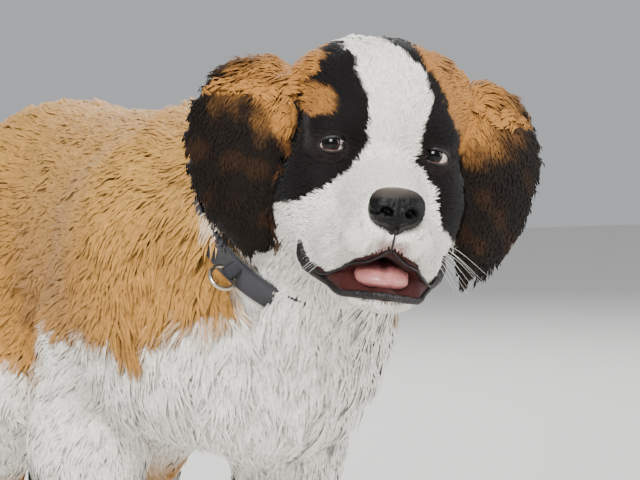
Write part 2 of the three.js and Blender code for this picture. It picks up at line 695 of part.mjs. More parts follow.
// The origin goes under the middle of the whole, on the floor
dog.updateMatrixWorld(true);
const bounds = new THREE.Box3().setFromObject(dog, true);
const centre = bounds.getCenter(new THREE.Vector3());
dog.position.set(-centre.x, -centre.y, -bounds.min.z);

export default dog;
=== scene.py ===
"""A saint bernard puppy, standing: skin, coat, eyes, nose, mouth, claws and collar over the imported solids."""

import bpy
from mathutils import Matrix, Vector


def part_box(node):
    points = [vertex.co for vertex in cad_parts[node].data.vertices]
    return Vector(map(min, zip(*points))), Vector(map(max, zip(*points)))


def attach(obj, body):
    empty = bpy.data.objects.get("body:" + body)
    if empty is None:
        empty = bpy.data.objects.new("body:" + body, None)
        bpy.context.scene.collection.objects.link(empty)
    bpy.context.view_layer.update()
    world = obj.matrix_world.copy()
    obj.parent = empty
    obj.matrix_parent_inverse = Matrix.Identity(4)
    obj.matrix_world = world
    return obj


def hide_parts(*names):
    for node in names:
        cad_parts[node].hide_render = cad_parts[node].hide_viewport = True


bl_info = {
    "name": "Saint Bernard Puppy",
    "version": (1, 0, 0),
    "blender": (4, 5, 0),
    "location": "View3D > Sidebar > Puppy",
    "description": "Dresses the solids of a puppy with skin, fur, eyes, nose, mouth, claws and collar",
    "category": "Object",
}

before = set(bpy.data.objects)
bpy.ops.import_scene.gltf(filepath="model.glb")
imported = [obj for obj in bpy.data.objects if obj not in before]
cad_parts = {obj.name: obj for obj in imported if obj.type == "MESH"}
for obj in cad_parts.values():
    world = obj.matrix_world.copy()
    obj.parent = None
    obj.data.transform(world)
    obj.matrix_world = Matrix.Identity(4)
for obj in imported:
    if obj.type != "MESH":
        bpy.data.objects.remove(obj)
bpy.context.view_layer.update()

import math

import bmesh
import bpy
import numpy as np
from bpy.props import FloatProperty, FloatVectorProperty, IntProperty, PointerProperty
from mathutils import Matrix, Vector, kdtree

MM = 0.001

# Driving dimensions in millimetres, in the dog's own frame: it faces -Y and its left is +X
BACK = 530
BRISKET = 250
CHEST_HALF = 112
ELBOW = 262
WRIST = 112
HOCK = 160
EYE_SPACING = 76
EYE_BALL = 10.5
EYE_DEPTH = 1.0  # how far the middle of an eye lies behind the head's origin
HEAD_AT = np.array([22.0, -370.0, 500.0])
HEAD_TURN = {"yaw": -20, "pitch": 1, "roll": 7}
PAWS = {"fore_left": (60, -172), "fore_right": (-89, -104), "hind_left": (82, 192), "hind_right": (-80, 186)}
TOES = [(-27, -20), (-10, -38), (10, -38), (27, -20)]
EAR_LINE = [
    (44, 50, 44), (72, 50, 45), (94, 46, 27), (105, 42, -4), (101, 38, -38), (90, 34, -68), (80, 30, -93),
]
EAR_REACH = {1: -4, -1: 4}  # how far the middle of the left and right ear swings out of its line
EAR_HALF_WIDTHS = [26, 37, 48, 50, 44, 32, 11]
EAR_THICKNESS = [16, 16, 14, 12, 11, 10, 7]
EAR_CUP = 0.28
SIDES = {"left": 1, "right": -1}

# Lines of the lips in the head's frame, which are then laid on the flesh, and their half widths
LOWER_LIP = [
    (-53, -2, -72), (-53, -8, -81), (-49, -16, -89), (-41, -30, -94),
    (-33, -46, -97), (-25, -59, -99), (-14, -71, -101), (0, -77, -101.5),
]
LOWER_LIP_RADII = [1.4, 5.8, 6.6, 3.0, 2.2, 2.6, 2.9, 2.8]
UPPER_LIP = [
    (-46, -18, -86), (-36, -38, -91), (-29, -54, -86), (-22, -68, -77), (-12, -80, -71), (-1.5, -86, -66),
]
UPPER_LIP_RADII = [1.2, 1.1, 1.0, 1.0, 1.1, 0.9]
PHILTRUM = [(0, -92, -50), (0, -92, -54), (0, -92, -60), (0, -90, -66), (0, -87, -71)]

# Camera, from the photograph: heading from +Y towards +X, and the place in the dog's frame
CAMERA_FROM = 24.0
CAMERA_DISTANCE = 2300
CAMERA_HEIGHT = 560
CAMERA_HEADING = 27.6
CAMERA_DOWN = 3.64
FOCAL_PIXELS = 2704
PHOTO_WIDTH = 640
SENSOR = 36.0


def srgb(hex_value):
    """A hex sRGB colour as linear RGBA."""
    parts = [((hex_value >> shift) & 255) / 255 for shift in (16, 8, 0)]
    return tuple(c / 12.92 if c <= 0.04045 else ((c + 0.055) / 1.055) ** 2.4 for c in parts) + (1.0,)


# The flesh as one smooth field, in millimetres: each form gives a signed distance for points (N, 3)
def turned(axis, degrees):
    """A 3 by 3 rotation about one axis."""
    return np.array(Matrix.Rotation(math.radians(degrees), 3, axis))


HEAD_ROTATION = turned("Z", HEAD_TURN["yaw"]) @ turned("X", HEAD_TURN["pitch"])
HEAD_ROTATION = HEAD_ROTATION @ turned("Y", HEAD_TURN["roll"])


def to_head(points):
    """Points of the dog's frame as the head's frame has them."""
    return (np.asarray(points, float) - HEAD_AT) @ HEAD_ROTATION


def from_head(points):
    """Points of the head's frame as the dog's frame has them."""
    return np.asarray(points, float) @ HEAD_ROTATION.T + HEAD_AT


def size(v):
    """Lengths along the last axis."""
    return np.sqrt(np.einsum("...i,...i->...", v, v))


def add_made(bm, make, matrix, **shape):
    """Adds what make draws in a small mesh of its own, moved by matrix, which is quicker in a big one."""
    part = bmesh.new()
    make(part, **shape)
    part.transform(matrix)
    mesh = bpy.data.meshes.new("form")
    part.to_mesh(mesh)
    part.free()
    bm.from_mesh(mesh)
    bpy.data.meshes.remove(mesh)


class Ball:
    """An ellipsoid, turned about X with its front down for a positive angle."""

    def __init__(self, centre, radii, turn=0):
        self.centre, self.radii, self.turn = np.array(centre, float), np.array(radii, float), turn

    def __call__(self, points):
        local = points - self.centre
        if self.turn:
            local = local @ turned("X", self.turn)
        scaled = local / self.radii
        k0 = size(scaled)
        return k0 * (k0 - 1) / np.maximum(size(scaled / self.radii), 1e-9)

    def add_to(self, bm, place):
        matrix = place @ Matrix.Translation(self.centre) @ Matrix.Rotation(math.radians(self.turn), 4, "X")
        matrix = matrix @ Matrix.Diagonal((*self.radii, 1))
        add_made(bm, bmesh.ops.create_uvsphere, matrix, u_segments=32, v_segments=20, radius=1)


class Limb:
    """A round cone between two points, with round ends."""

    def __init__(self, a, b, ra, rb):
        self.a, self.b, self.ra, self.rb = np.array(a, float), np.array(b, float), ra, rb

    def __call__(self, points):
        along = self.b - self.a
        share = np.clip((points - self.a) @ along / (along @ along), 0, 1)
        near = self.a + share[:, None] * along
        return size(points - near) - (self.ra + share * (self.rb - self.ra))

    def add_to(self, bm, place):
        for centre, radius in ((self.a, self.ra), (self.b, self.rb)):
            matrix = place @ Matrix.Translation(centre) @ Matrix.Scale(radius, 4)
            add_made(bm, bmesh.ops.create_uvsphere, matrix, u_segments=28, v_segments=16, radius=1)
        along = Vector(self.b - self.a)
        aim = along.to_track_quat("Z", "Y").to_matrix().to_4x4()
        matrix = place @ Matrix.Translation((self.a + self.b) / 2) @ aim
        ends = {"radius1": self.ra, "radius2": self.rb, "depth": along.length}
        add_made(bm, bmesh.ops.create_cone, matrix, cap_ends=True, segments=28, **ends)


class Blend:
    """Forms joined with soft creases of width k, in the dog's frame or the head's."""

    def __init__(self, k, *forms, local=False):
        self.k, self.forms, self.local = k, forms, local

    def __call__(self, points):
        at = to_head(points) if self.local else points
        d = self.forms[0](at)
        for form in self.forms[1:]:
            e = form(at)
            h = np.maximum(self.k - np.abs(d - e), 0) / self.k
            d = np.minimum(d, e) - h * h * self.k / 4
        return d

    def add_to(self, bm, place):
        inner = Matrix.Translation(HEAD_AT) @ Matrix(HEAD_ROTATION).to_4x4() if self.local else Matrix()
        for form in self.forms:
            form.add_to(bm, place @ inner)


def both(make):
    """What make gives for the left side, 1, and for the right side, -1."""
    return [make(1), make(-1)]


MIDDLE = (BACK + BRISKET) / 2
trunk = Blend(
    45,
    Ball((2, -92, MIDDLE), (CHEST_HALF, 172, (BACK - BRISKET) / 2)),
    Ball((0, 70, BACK - 118), (96, 180, 114)),
    Ball((-2, 180, BACK - 102), (96, 104, 104)),
    Ball((14, -205, BRISKET + 102), (92, 72, 102)),
    *both(lambda s: Ball((s * 68 + 4, -138, 385), (52, 84, 108))),
    *both(lambda s: Ball((s * 68, 160, 372), (48, 88, 108))),
)
SKULL_BASE = from_head([0, 84, -18])
THROAT = from_head([0, 60, -64])
neck = Blend(
    40,
    Limb((0, -130, 432), (14, -225, 440), 92, 88),
    Limb((14, -225, 440), SKULL_BASE, 88, 64),
    Limb((16, -225, 400), THROAT, 70, 42),
)
skull = Blend(
    14,
    Ball((0, 50, 14), (65, 63, 71)),
    Ball((0, 22, 30), (44, 36, 42)),
    *both(lambda s: Ball((s * 34, 8, 13), (20, 15, 14))),
    *both(lambda s: Ball((s * 40, 32, -38), (29, 44, 44))),
    *both(lambda s: Ball((s * 47, 52, 35), (26, 32, 31))),
)
muzzle = Blend(
    12,
    Limb((0, -6, -36), (0, -72, -44), 33, 26),
    *both(lambda s: Limb((s * 17, -74, -61), (s * 23, -38, -71), 17, 20)),
    *both(lambda s: Limb((s * 23, -38, -71), (s * 33, 6, -66), 20, 23)),
)
jaw = Blend(
    10,
    *both(lambda s: Limb((s * 33, 10, -82), (s * 14, -60, -101), 19, 12)),
    *both(lambda s: Limb((s * 43, -8, -82), (s * 24, -58, -96), 9, 7)),
    Limb((0, -40, -101), (0, -73, -103), 13, 11),
)
lid_mounds = Blend(6, *both(lambda s: Ball((s * EYE_SPACING / 2, EYE_DEPTH + 1, 0), (14, 13, 12.5))))
head = Blend(14, skull, muzzle, local=True)
face = Blend(9, Blend(14, skull, muzzle), lid_mounds, local=True)
chin = Blend(5, jaw, local=True)


def foreleg(x, y, lean):
    """A foreleg over its foot; lean moves the pastern sideways."""
    return Blend(
        26,
        Limb((x * 0.9, y + 22, ELBOW + 70), (x, y + 18, ELBOW), 56, 47),
        Limb((x, y + 18, ELBOW), (x + lean, y + 2, WRIST), 46, 31),
        Limb((x + lean, y + 2, WRIST), (x + lean, y - 8, 38), 31, 29),
    )


def hindleg(x, y):
    """A hind leg: thigh, hock and pastern over its foot."""
    return Blend(
        26,
        Ball((x * 0.92, y - 38, 338), (44, 82, 96), 24),
        Limb((x, y - 88, 292), (x, y + 28, HOCK + 12), 52, 32),
        Limb((x, y + 28, HOCK), (x, y + 12, 44), 30, 27),
    )


def paw(x, y):
    """A foot with four toes."""
    return Blend(
        7,
        Ball((x, y + 10, 22), (35, 36, 34)),
        *[Ball((x + dx, y + dy, 18), (15, 25, 20)) for dx, dy in TOES],
    )


legs = {
    "fore_left": foreleg(62, -152, -2),
    "fore_right": foreleg(-84, -84, -5),
    "hind_left": hindleg(82, 196),
    "hind_right": hindleg(-80, 190),
}
limbs = Blend(12, *[Blend(12, legs[name], paw(*PAWS[name])) for name in legs])
tail = Blend(
    24,
    Limb((0, 236, 452), (0, 288, 420), 34, 33),
    Limb((0, 288, 420), (-2, 322, 330), 33, 34),
    Limb((-2, 322, 330), (-6, 326, 240), 34, 26),
    Limb((-6, 326, 240), (-12, 312, 182), 26, 8),
)
body = Blend(30, trunk, neck)
flesh = Blend(7, Blend(24, Blend(30, body, face), limbs, tail), chin)

# Where the dog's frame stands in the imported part
EYE_IN_DOG = from_head([EYE_SPACING / 2, EYE_DEPTH, 0])
ORIGIN = np.mean(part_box("eye_left"), axis=0) / MM - EYE_IN_DOG


def to_frame(points):
    """Points of the dog's frame, in millimetres, as the part's frame in metres."""
    return (np.asarray(points, float) + ORIGIN) * MM


def to_dog(points):
    """Points of the part's frame, in metres, as the dog's frame in millimetres."""
    return np.asarray(points, float) / MM - ORIGIN


def slope(field, points, h=0.6):
    """The unit way in which a field grows at each point."""
    out = np.zeros_like(points)
    for corner in ((1, 1, 1), (1, -1, -1), (-1, 1, -1), (-1, -1, 1)):
        out += np.array(corner) * field(points + h * np.array(corner))[:, None]
    return out / np.maximum(np.linalg.norm(out, axis=1, keepdims=True), 1e-9)


def smooth(low, high, x):
    """0 at low, 1 at high and eased between; low may be the larger."""
    t = np.clip((x - low) / (high - low), 0, 1)
    return t * t * (3 - 2 * t)


def unit(v):
    """Vectors of length 1."""
    return v / np.maximum(np.linalg.norm(v, axis=-1, keepdims=True), 1e-9)


def wave(points, scale, seed):
    """A soft noise from -1 to 1 that changes over about scale millimetres."""
    rng = np.random.default_rng(seed)
    total = np.zeros(len(points))
    for _ in range(6):
        direction = rng.normal(size=3)
        direction /= np.linalg.norm(direction)
        along = points @ direction * (2 * math.pi / scale)
        total += np.sin(along * rng.uniform(0.6, 1.5) + rng.uniform(0, 6.3))
    return total / 3.2


def spline(a, b, c, d, u):
    """A point at the share u from b to c of a smooth curve through a, b, c and d."""
    return 0.5 * (2 * b + (c - a) * u + (2 * a - 5 * b + 4 * c - d) * u**2 + (3 * b - a - 3 * c + d) * u**3)


def catmull(points, steps):
    """A smooth curve through points, with that many steps between each two."""
    p = np.asarray(points, float)
    padded = np.vstack([2 * p[0] - p[1], p, 2 * p[-1] - p[-2]])
    made = []
    for i in range(len(p) - 1):
        a, b, c, d = padded[i:i + 4]
        for step in range(steps):
            u = step / steps
            made.append(spline(a, b, c, d, u))
    made.append(p[-1])
    return np.array(made)


def flesh_local(points):
    return flesh(from_head(points))


def face_local(points):
    return face(from_head(points)) + 1.6


def settle(point, field):
    """Moves one point of the head's frame onto a field's surface."""
    p = np.array([point], float)
    for _ in range(4):
        p -= slope(field, p) * field(p)[:, None]
    return p[0]


# The ears, each a leaf along a bent line
EAR_SAMPLES = 48


def ear_curve(side):
    """Points, ways down, ways across and ways out of the outer face along one ear, in the head's frame."""
    swing = [EAR_REACH[side] * math.sin(math.pi * i / (len(EAR_LINE) - 1)) for i in range(len(EAR_LINE))]
    knots = np.array([(side * (x + out), y, z) for out, (x, y, z) in zip(swing, EAR_LINE)], float)
    t = np.linspace(0, len(knots) - 1, EAR_SAMPLES)
    padded = np.vstack([2 * knots[0] - knots[1], knots, 2 * knots[-1] - knots[-2]])
    i = np.minimum(t.astype(int), len(knots) - 2)
    u = (t - i)[:, None]
    p0, p1, p2, p3 = (padded[i + n] for n in range(4))
    points = spline(p0, p1, p2, p3, u)
    down = unit(np.gradient(points, axis=0))
    across = np.tile([side * 0.86, 0.5, 0], (EAR_SAMPLES, 1))
    across = unit(across - np.sum(across * down, axis=1, keepdims=True) * down)
    return points, down, across, np.cross(down, across) * side


def ear_sized(values, share):
    """A size that changes along the ear, at shares of its length."""
    return np.interp(share, np.linspace(0, 1, len(values)), values)


def ear_place(local):
    """For points in the head's frame: share down the nearer ear, place across it, gap to it and its ways."""
    best = None
    for side in (1, -1):
        points, down, across, out = ear_curve(side)
        gap = size(local[:, None, :] - points[None])
        nearest = np.argmin(gap, axis=1)
        delta = local - points[nearest]
        share = nearest / (EAR_SAMPLES - 1)
        a = np.sum(delta * across[nearest], axis=1)
        half = ear_sized(EAR_HALF_WIDTHS, share)
        o = np.sum(delta * out[nearest], axis=1) + EAR_CUP * share * a * a / half
        thick = ear_sized(EAR_THICKNESS, share)
        apart = np.maximum(np.abs(a) - half, np.abs(o) - thick / 2)
        row = [share, a, apart, down[nearest], out[nearest], across[nearest]]
        if best is None:
            best = row
        else:
            closer = apart < best[2]
            for i, (new, old) in enumerate(zip(row, best)):
                best[i] = np.where(closer if new.ndim == 1 else closer[:, None], new, old)
    return best


def add_ear(bm, side, place, thinner):
    """A chain of flat balls along the ear, bent to its cup."""
    points, down, across, out = ear_curve(side)
    for i in range(0, EAR_SAMPLES, 2):
        share = i / (EAR_SAMPLES - 1)
        half = ear_sized(EAR_HALF_WIDTHS, share) - thinner / 2
        thick = ear_sized(EAR_THICKNESS, share) / 2 - thinner / 2

        def leaf(part):
            for v in bmesh.ops.create_uvsphere(part, u_segments=28, v_segments=12, radius=1)["verts"]:
                a, o, d = v.co.x * half, v.co.y * thick, v.co.z * 9
                o -= EAR_CUP * share * a * a / half
                v.co = from_head(points[i] + a * across[i] + o * out[i] + d * down[i])

        add_made(bm, leaf, place)


# Coat: length, width and lift of the tufts, and the skin's depth below the solids
def head_share(points):
    """1 on the head, 0 past its parting from the neck."""
    local = to_head(points)
    past = (local[:, 1] - 74) * 0.914 - (local[:, 2] + 24) * 0.405
    return smooth(16, -16, past) * smooth(175, 150, np.linalg.norm(local - [0, 30, 0], axis=1))


def leg_share(points):
    """1 on the legs and feet, 0 on the rest."""
    return smooth(300, 235, points[:, 2]) * smooth(20, 5, limbs(points))


def coat_depth(points):
    """How far the skin lies inside the solids."""
    local = to_head(points)
    trunk_depth = np.full(len(points), 11.0)
    leg_depth = 3.5 + 5 * smooth(60, 260, points[:, 2])
    depth = trunk_depth + (leg_depth - trunk_depth) * leg_share(points)
    face_depth = 1.6 + 5.5 * smooth(5, 70, local[:, 1])
    depth += (face_depth - depth) * head_share(points)
    return depth + 13 * smooth(1.05, 0.75, size((local - [0, -92, -39]) / [20, 20, 16]))


def coat_length(points, normals):
    """Length of the hair, in millimetres."""
    local = to_head(points)
    length = np.full(len(points), 26.0)
    bib = smooth(-120, -200, points[:, 1]) * smooth(470, 400, points[:, 2])
    length += 8 * bib
    length += 8 * smooth(250, 300, points[:, 1]) * smooth(470, 420, points[:, 2])
    behind = smooth(0.1, 0.8, normals[:, 1])
    leg = (9 + 11 * smooth(50, 260, points[:, 2])) * (1 + 0.7 * behind * smooth(90, 200, points[:, 2]))
    length += (leg - length) * leg_share(points)
    face_hair = 3.6 + 3.5 * smooth(-30, 10, local[:, 1]) + 11 * smooth(15, 75, local[:, 1])
    crown = smooth(40, 76, local[:, 2]) * smooth(-15, 20, local[:, 1])
    face_hair += 9 * crown * smooth(8, 30, np.abs(local[:, 0]))
    beside = smooth(35, 62, np.abs(local[:, 0])) * smooth(10, 40, local[:, 1])
    face_hair += 9 * beside * smooth(0, -40, local[:, 2])
    length += (face_hair - length) * head_share(points)
    return length


def coat_lie(points, normals):
    """Which way the hair lies."""
    n = len(points)
    local = to_head(points)
    low = smooth(430, 330, points[:, 2])
    lie = np.stack([np.zeros(n), np.ones(n) - 0.35 * low, -0.2 - 0.6 * low], axis=1)
    front = smooth(-110, -190, points[:, 1])[:, None]
    lie += (np.array([0, 0.1, -1.0]) - lie) * front
    lie += (np.array([0, 0.9, -0.5]) - lie) * (front * smooth(430, 500, points[:, 2])[:, None])
    rump = smooth(225, 262, points[:, 1])[:, None]
    lie += (np.array([0, 0.25, -1.0]) - lie) * rump
    leg = leg_share(points)[:, None]
    foot = smooth(60, 30, points[:, 2])[:, None]
    lie += (np.array([0, 0.12, -1.0]) - lie) * leg
    lie += (np.array([0, -0.7, -0.7]) - lie) * (leg * foot)
    away = unit(local - np.array([0, -112, -34]))
    cheek = smooth(20, 60, np.abs(local[:, 0])) * smooth(-10, 30, local[:, 1]) * smooth(20, -30, local[:, 2])
    away[:, 2] -= 0.9 * cheek
    crown = smooth(30, 70, local[:, 2]) * smooth(0, 25, local[:, 1])
    away[:, 0] += 1.5 * crown * np.sign(local[:, 0]) * smooth(6, 40, np.abs(local[:, 0]))
    away[:, 2] -= 0.4 * crown
    lie += (unit(away) @ HEAD_ROTATION.T - lie) * head_share(points)[:, None]
    lie -= np.sum(lie * normals, axis=1, keepdims=True) * normals
    return unit(lie)


# Markings, by place: the same on skin and coat
# The blaze and the lower edges of the mask, in the head's frame: heights, and what lies there
BLAZE_HEIGHTS = [-30, 5, 36, 53, 73]
BLAZE_MIDDLE = [1, 5, 6, 0, -2]
BLAZE_HALF = [17, 17, 22, 27, 24]
MASK_LOW = {1: ([13, 26, 39, 44, 60], [-3, -12, -27, -50, -62]), -1: ([13, 34, 57], [-3, -29, -45])}


def paint(base, colour, share):
    """The base colours moved towards one colour by each point's share."""
    return base + (colour - base) * np.clip(share, 0, 1)[:, None]


def mouth_back(local):
    """True in the back of the mouth, over the tongue."""
    ax, y, z = np.abs(local[:, 0]), local[:, 1], local[:, 2]
    return (ax < 24) & (y > -60) & (y < 14) & (z > -93) & (z < -62)


def lip_room(points, local):
    """The least way from each point of the head to the dark skin of the lips, large elsewhere."""
    room = np.full(len(points), 99.0)
    close = np.nonzero((head_share(points) > 0.5) & (local[:, 2] < -50))[0]
    for knots, wide in ((LOWER_LIP, 3.2), (LOWER_LIP[:3], 6.0), (UPPER_LIP, 1.6)):
        line = catmull([settle(knot, flesh_local) for knot in knots], 5)
        for s in SIDES.values():
            gap = size(local[close][:, None, :] - (line * [s, 1, 1])[None])
            room[close] = np.minimum(room[close], gap.min(axis=1) - wide)
    return room


def between_lips(local):
    """Negative between the edges of the upper and lower lips, seen from the front."""
    ax = np.abs(local[:, 0])
    upper, lower = (
        np.interp(ax, [abs(x) for x, _, _ in knots], [z for _, _, z in knots])
        for knots in (UPPER_LIP[::-1], LOWER_LIP[:1:-1])
    )
    gap = np.maximum(local[:, 2] - upper, lower - local[:, 2])
    return np.where((ax < 45) & (local[:, 1] < -8), gap, 9.0)


def body_colour(points, rgb):
    """Golden tan with a white bib, belly, legs and tip of the tail."""
    edge = 9 * wave(points, 55, 5) + 3 * wave(points, 16, 6)
    x, y, z = (points[:, i] for i in range(3))
    colour = np.tile(rgb["tan"], (len(points), 1))
    colour = paint(colour, rgb["sable"], 0.16 * (0.5 + 0.5 * wave(points, 90, 7)))
    # Painted shade: below the back the sides are darkened up to halfway towards gold.
    colour = paint(colour, rgb["gold"], 0.5 * smooth(480, 380, z))
    border = 372 + 0.16 * (x + 20) + edge
    chest = smooth(border + 10, border - 10, z) * smooth(-60 + edge, -90 + edge, y)
    throat = smooth(14, -6, z - (400 - 0.35 * (y + 300)) - edge) * smooth(-190, -215, y)
    front = smooth(76, 58, np.abs(x - 26 + 0.2 * (z - 380)) + 0.4 * edge)
    front *= smooth(-170, -195, y) * smooth(480, 440, z)
    belly = smooth(322 + edge, 300 + edge, z) * smooth(170, 120, y)
    foreleg_white = smooth(318 + edge, 296 + edge, z) * smooth(20, -5, y)
    hind_border = 205 + edge + 0.4 * (y - 200)
    hind_white = smooth(hind_border + 9, hind_border - 9, z)
    tail_white = smooth(222 + edge, 205 + edge, z) * smooth(270, 285, y)
    white = np.maximum.reduce([chest, throat, front, belly, foreleg_white, hind_white, tail_white])
    return paint(colour, rgb["white"], white)


def head_colour(points, local, rgb):
    """Gold crown, black mask with a tan spot over the right eye, white blaze, muzzle and cheeks."""
    lx, ly, lz = (local[:, i] for i in range(3))
    ax = np.abs(lx)
    wobble = 2.0 * wave(points, 15, 8) + 1.0 * wave(points, 6, 9)
    tone = np.tile(rgb["gold"], (len(points), 1))
    low = np.where(lx > 0, np.interp(ax, *MASK_LOW[1]), np.interp(ax, *MASK_LOW[-1]))
    high = np.where(lx > 0, 58 - 1.5 * (ax - 27), 42 + 1.08 * (57 - ax))
    mask = smooth(3, -3, lz - high + 2 * wobble) * smooth(56, 42, ly)
    spot = smooth(1.2, 0.75, np.hypot((ax - 50) / 13, (lz - 30) / 12) + wobble / 14) * (lx < 0)
    tone = paint(tone, rgb["mask"], mask * (1 - 0.8 * spot))
    near_eye = np.hypot((ax - EYE_SPACING / 2) / 17, (lz + 3) / 11)
    tone = paint(tone, rgb["lid"], 0.75 * smooth(1.1, 0.65, near_eye) * (ly < 10))
    middle = np.interp(lz, BLAZE_HEIGHTS, BLAZE_MIDDLE)
    half = np.interp(lz, BLAZE_HEIGHTS, BLAZE_HALF)
    top = 80 - 0.0172 * np.maximum(lx + 15, 0) ** 2
    blaze = smooth(half + 1.4, half - 1.4, np.abs(lx - middle) + 0.7 * wobble)
    blaze *= smooth(2, -2, lz - top + wobble)
    tone = paint(tone, rgb["white"], blaze * smooth(58, 44, ly))
    on_muzzle = smooth(1.4, -1.4, lz - low + 0.7 * wobble) * smooth(62, 44, ly + 0.3 * lz)
    tone = paint(tone, rgb["white"], np.maximum(on_muzzle, smooth(-58, -66, lz + 0.5 * wobble)))
    speck = smooth(0.62, 0.8, wave(points, 9, 31)) * smooth(-30, -55, ly)
    speck *= smooth(-40, -55, lz) * smooth(-88, -76, lz)
    tone = paint(tone, rgb["lip"], 0.35 * speck)
    under_nose = smooth(16, 7, ax) * smooth(-56, -61, lz) * smooth(-84, -78, lz) * smooth(-66, -74, ly)
    tone = paint(tone, rgb["pink"], 0.7 * under_nose)
    # Painted shade over the mouth's own dark skin: the opening of the mouth, its back over the tongue and the
    # gap between the lips are darkened to the mouth colour in place of the hollow's shade.
    mouth_shape = size((local - [0, -46, -82]) / [27, 40, 13])
    tone = paint(tone, rgb["mouth"], smooth(1.08, 0.96, mouth_shape))
    tone = paint(tone, rgb["mouth"], mouth_back(local))
    return paint(tone, rgb["mouth"], smooth(3.5, 1.5, between_lips(local)))


def coat_colour(points, ear):
    """Linear colour (N, 3) of the coat at points of the dog's frame; ear is what ear_place says of them."""
    chosen = bpy.context.scene.puppy_colours
    rgb = {name: np.array(getattr(chosen, name)) for name in PuppyColours.__annotations__}
    local = to_head(points)
    colour = body_colour(points, rgb)
    colour += (head_colour(points, local, rgb) - colour) * head_share(points)[:, None]
    share, across, apart = ear[:3]
    half = ear_sized(EAR_HALF_WIDTHS, share)
    rim = smooth(0.8, 0.97, np.abs(across) / half + 0.06 * wave(points, 14, 10))
    front = np.where(across < 0, 1.0, 0.45)
    tone = np.tile(rgb["ear"], (len(points), 1))
    tone = paint(tone, rgb["sable"], 0.7 * rim * front + 0.1 * smooth(0.0, 1.0, wave(points, 30, 12)))
    fold = smooth(0.46, 0.16, share + 0.06 * wave(points, 26, 11) + 0.10 * across / half)
    tone = paint(tone, rgb["gold"], fold)
    on_ear = smooth(4, 0, apart) * smooth(2.5, 5.5, face(points) + 1.6)
    return np.clip(colour + (tone - colour) * on_ear[:, None], 0, 1)


# Materials
def add_node(tree, kind, values=(), links=(), **settings):
    """Adds a node with its settings, the values of its sockets and the links into them."""
    made = tree.nodes.new(kind)
    for name, value in settings.items():
        setattr(made, name, value)
    for name, value in dict(values).items():
        made.inputs[name].default_value = value
    for name, source in dict(links).items():
        tree.links.new(source, made.inputs[name])
    return made


def new_material(name, **values):
    """A material with one Principled shader, and its tree, shader and output."""
    material = bpy.data.materials.new(name)
    material.use_nodes = True
    tree = material.node_tree
    shader = tree.nodes["Principled BSDF"]
    for key, value in values.items():
        shader.inputs[key.replace("_", " ")].default_value = value
    return material, tree, shader


def noise(tree, scale, detail):
    """Cloudy noise at each place of the object."""
    place = add_node(tree, "ShaderNodeTexCoord")
    values = {"Scale": scale, "Detail": detail}
    return add_node(tree, "ShaderNodeTexNoise", values, {"Vector": place.outputs["Object"]})


def roughen(tree, height, strength, depth):
    """Raises the surface by a height, as bump."""
    bump = add_node(tree, "ShaderNodeBump", {"Strength": strength, "Distance": depth}, {"Height": height})
    tree.links.new(bump.outputs["Normal"], tree.nodes["Principled BSDF"].inputs["Normal"])


def tinted(tree, colour, low, high, grain):
    """A colour made darker and lighter by noise, as the base colour. The colour is a value or a socket."""
    limits = {"From Min": 0.3, "From Max": 0.7, "To Min": low, "To Max": high}
    tones = add_node(tree, "ShaderNodeMapRange", limits, {"Value": grain.outputs["Fac"]})
    tint = add_node(tree, "ShaderNodeVectorMath", (), {1: tones.outputs["Result"]}, operation="MULTIPLY")
    if isinstance(colour, tuple):
        tint.inputs[0].default_value = colour[:3]
    else:
        tree.links.new(colour, tint.inputs[0])
    tree.links.new(tint.outputs["Vector"], tree.nodes["Principled BSDF"].inputs["Base Color"])


def coat_material(name, streaks):
    """Hair over skin: the markings from the mesh's own colours, a dry sheen, and fine streaks as bump."""
    material, tree, shader = new_material(name, Roughness=0.7, Sheen_Weight=0.08, Sheen_Roughness=0.5)
    shader.inputs["Specular IOR Level"].default_value = 0.12
    markings = add_node(tree, "ShaderNodeVertexColor", layer_name="Coat")
    grain = noise(tree, streaks, 4)
    tinted(tree, markings.outputs["Color"], 0.82, 1.14, grain)
    roughen(tree, grain.outputs["Fac"], 0.35, 0.0015)
    return material


def mesh_object(name, mesh, material, replaced=()):
    """Names a mesh as a piece that rides on the dog."""
    piece = bpy.data.objects.new(name, mesh)
    bpy.context.scene.collection.objects.link(piece)
    mesh.materials.clear()
    mesh.materials.append(material)
    mesh.polygons.foreach_set("use_smooth", np.ones(len(mesh.polygons), bool))
    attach(piece, "root")
    if replaced:
        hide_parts(*replaced)
    return piece


def finished(name, bm):
    """A mesh from a bmesh with its normals pointing out."""
    bmesh.ops.recalc_face_normals(bm, faces=bm.faces)
    mesh = bpy.data.meshes.new(name)
    bm.to_mesh(mesh)
    bm.free()
    return mesh


def with_modifier(mesh, kind, **settings):
    """A new mesh: the given one with a modifier applied."""
    carrier = bpy.data.objects.new("carrier", mesh)
    bpy.context.scene.collection.objects.link(carrier)
    modifier = carrier.modifiers.new(kind, kind)
    for name, value in settings.items():
        setattr(modifier, name, value)
    graph = bpy.context.evaluated_depsgraph_get()
    made = bpy.data.meshes.new_from_object(carrier.evaluated_get(graph))
    bpy.data.objects.remove(carrier)
    bpy.data.meshes.remove(mesh)
    return made


def coordinates(mesh):
    values = np.empty(len(mesh.vertices) * 3)
    mesh.vertices.foreach_get("co", values)
    return values.reshape(-1, 3)


def set_coordinates(mesh, values):
    mesh.vertices.foreach_set("co", np.ascontiguousarray(values, dtype=np.float32).ravel())
    mesh.update()


def store_colour(mesh, colours):
    """Writes the coat's colours to the mesh's points."""
    layer = mesh.color_attributes.new("Coat", "FLOAT_COLOR", "POINT")
    rgba = np.ones((len(colours), 4), dtype=np.float32)
    rgba[:, :3] = colours
    layer.data.foreach_set("color", rgba.ravel())


# Skin
VOXEL = 3.4
EAR_THINNER = 5.0
FLESH_NODES = ["torso", "neck", "head", "jaw", "tail", "ear_left", "ear_right"]
FLESH_NODES += [f"{name}_{part}" for name in PAWS for part in ("leg", "paw")]


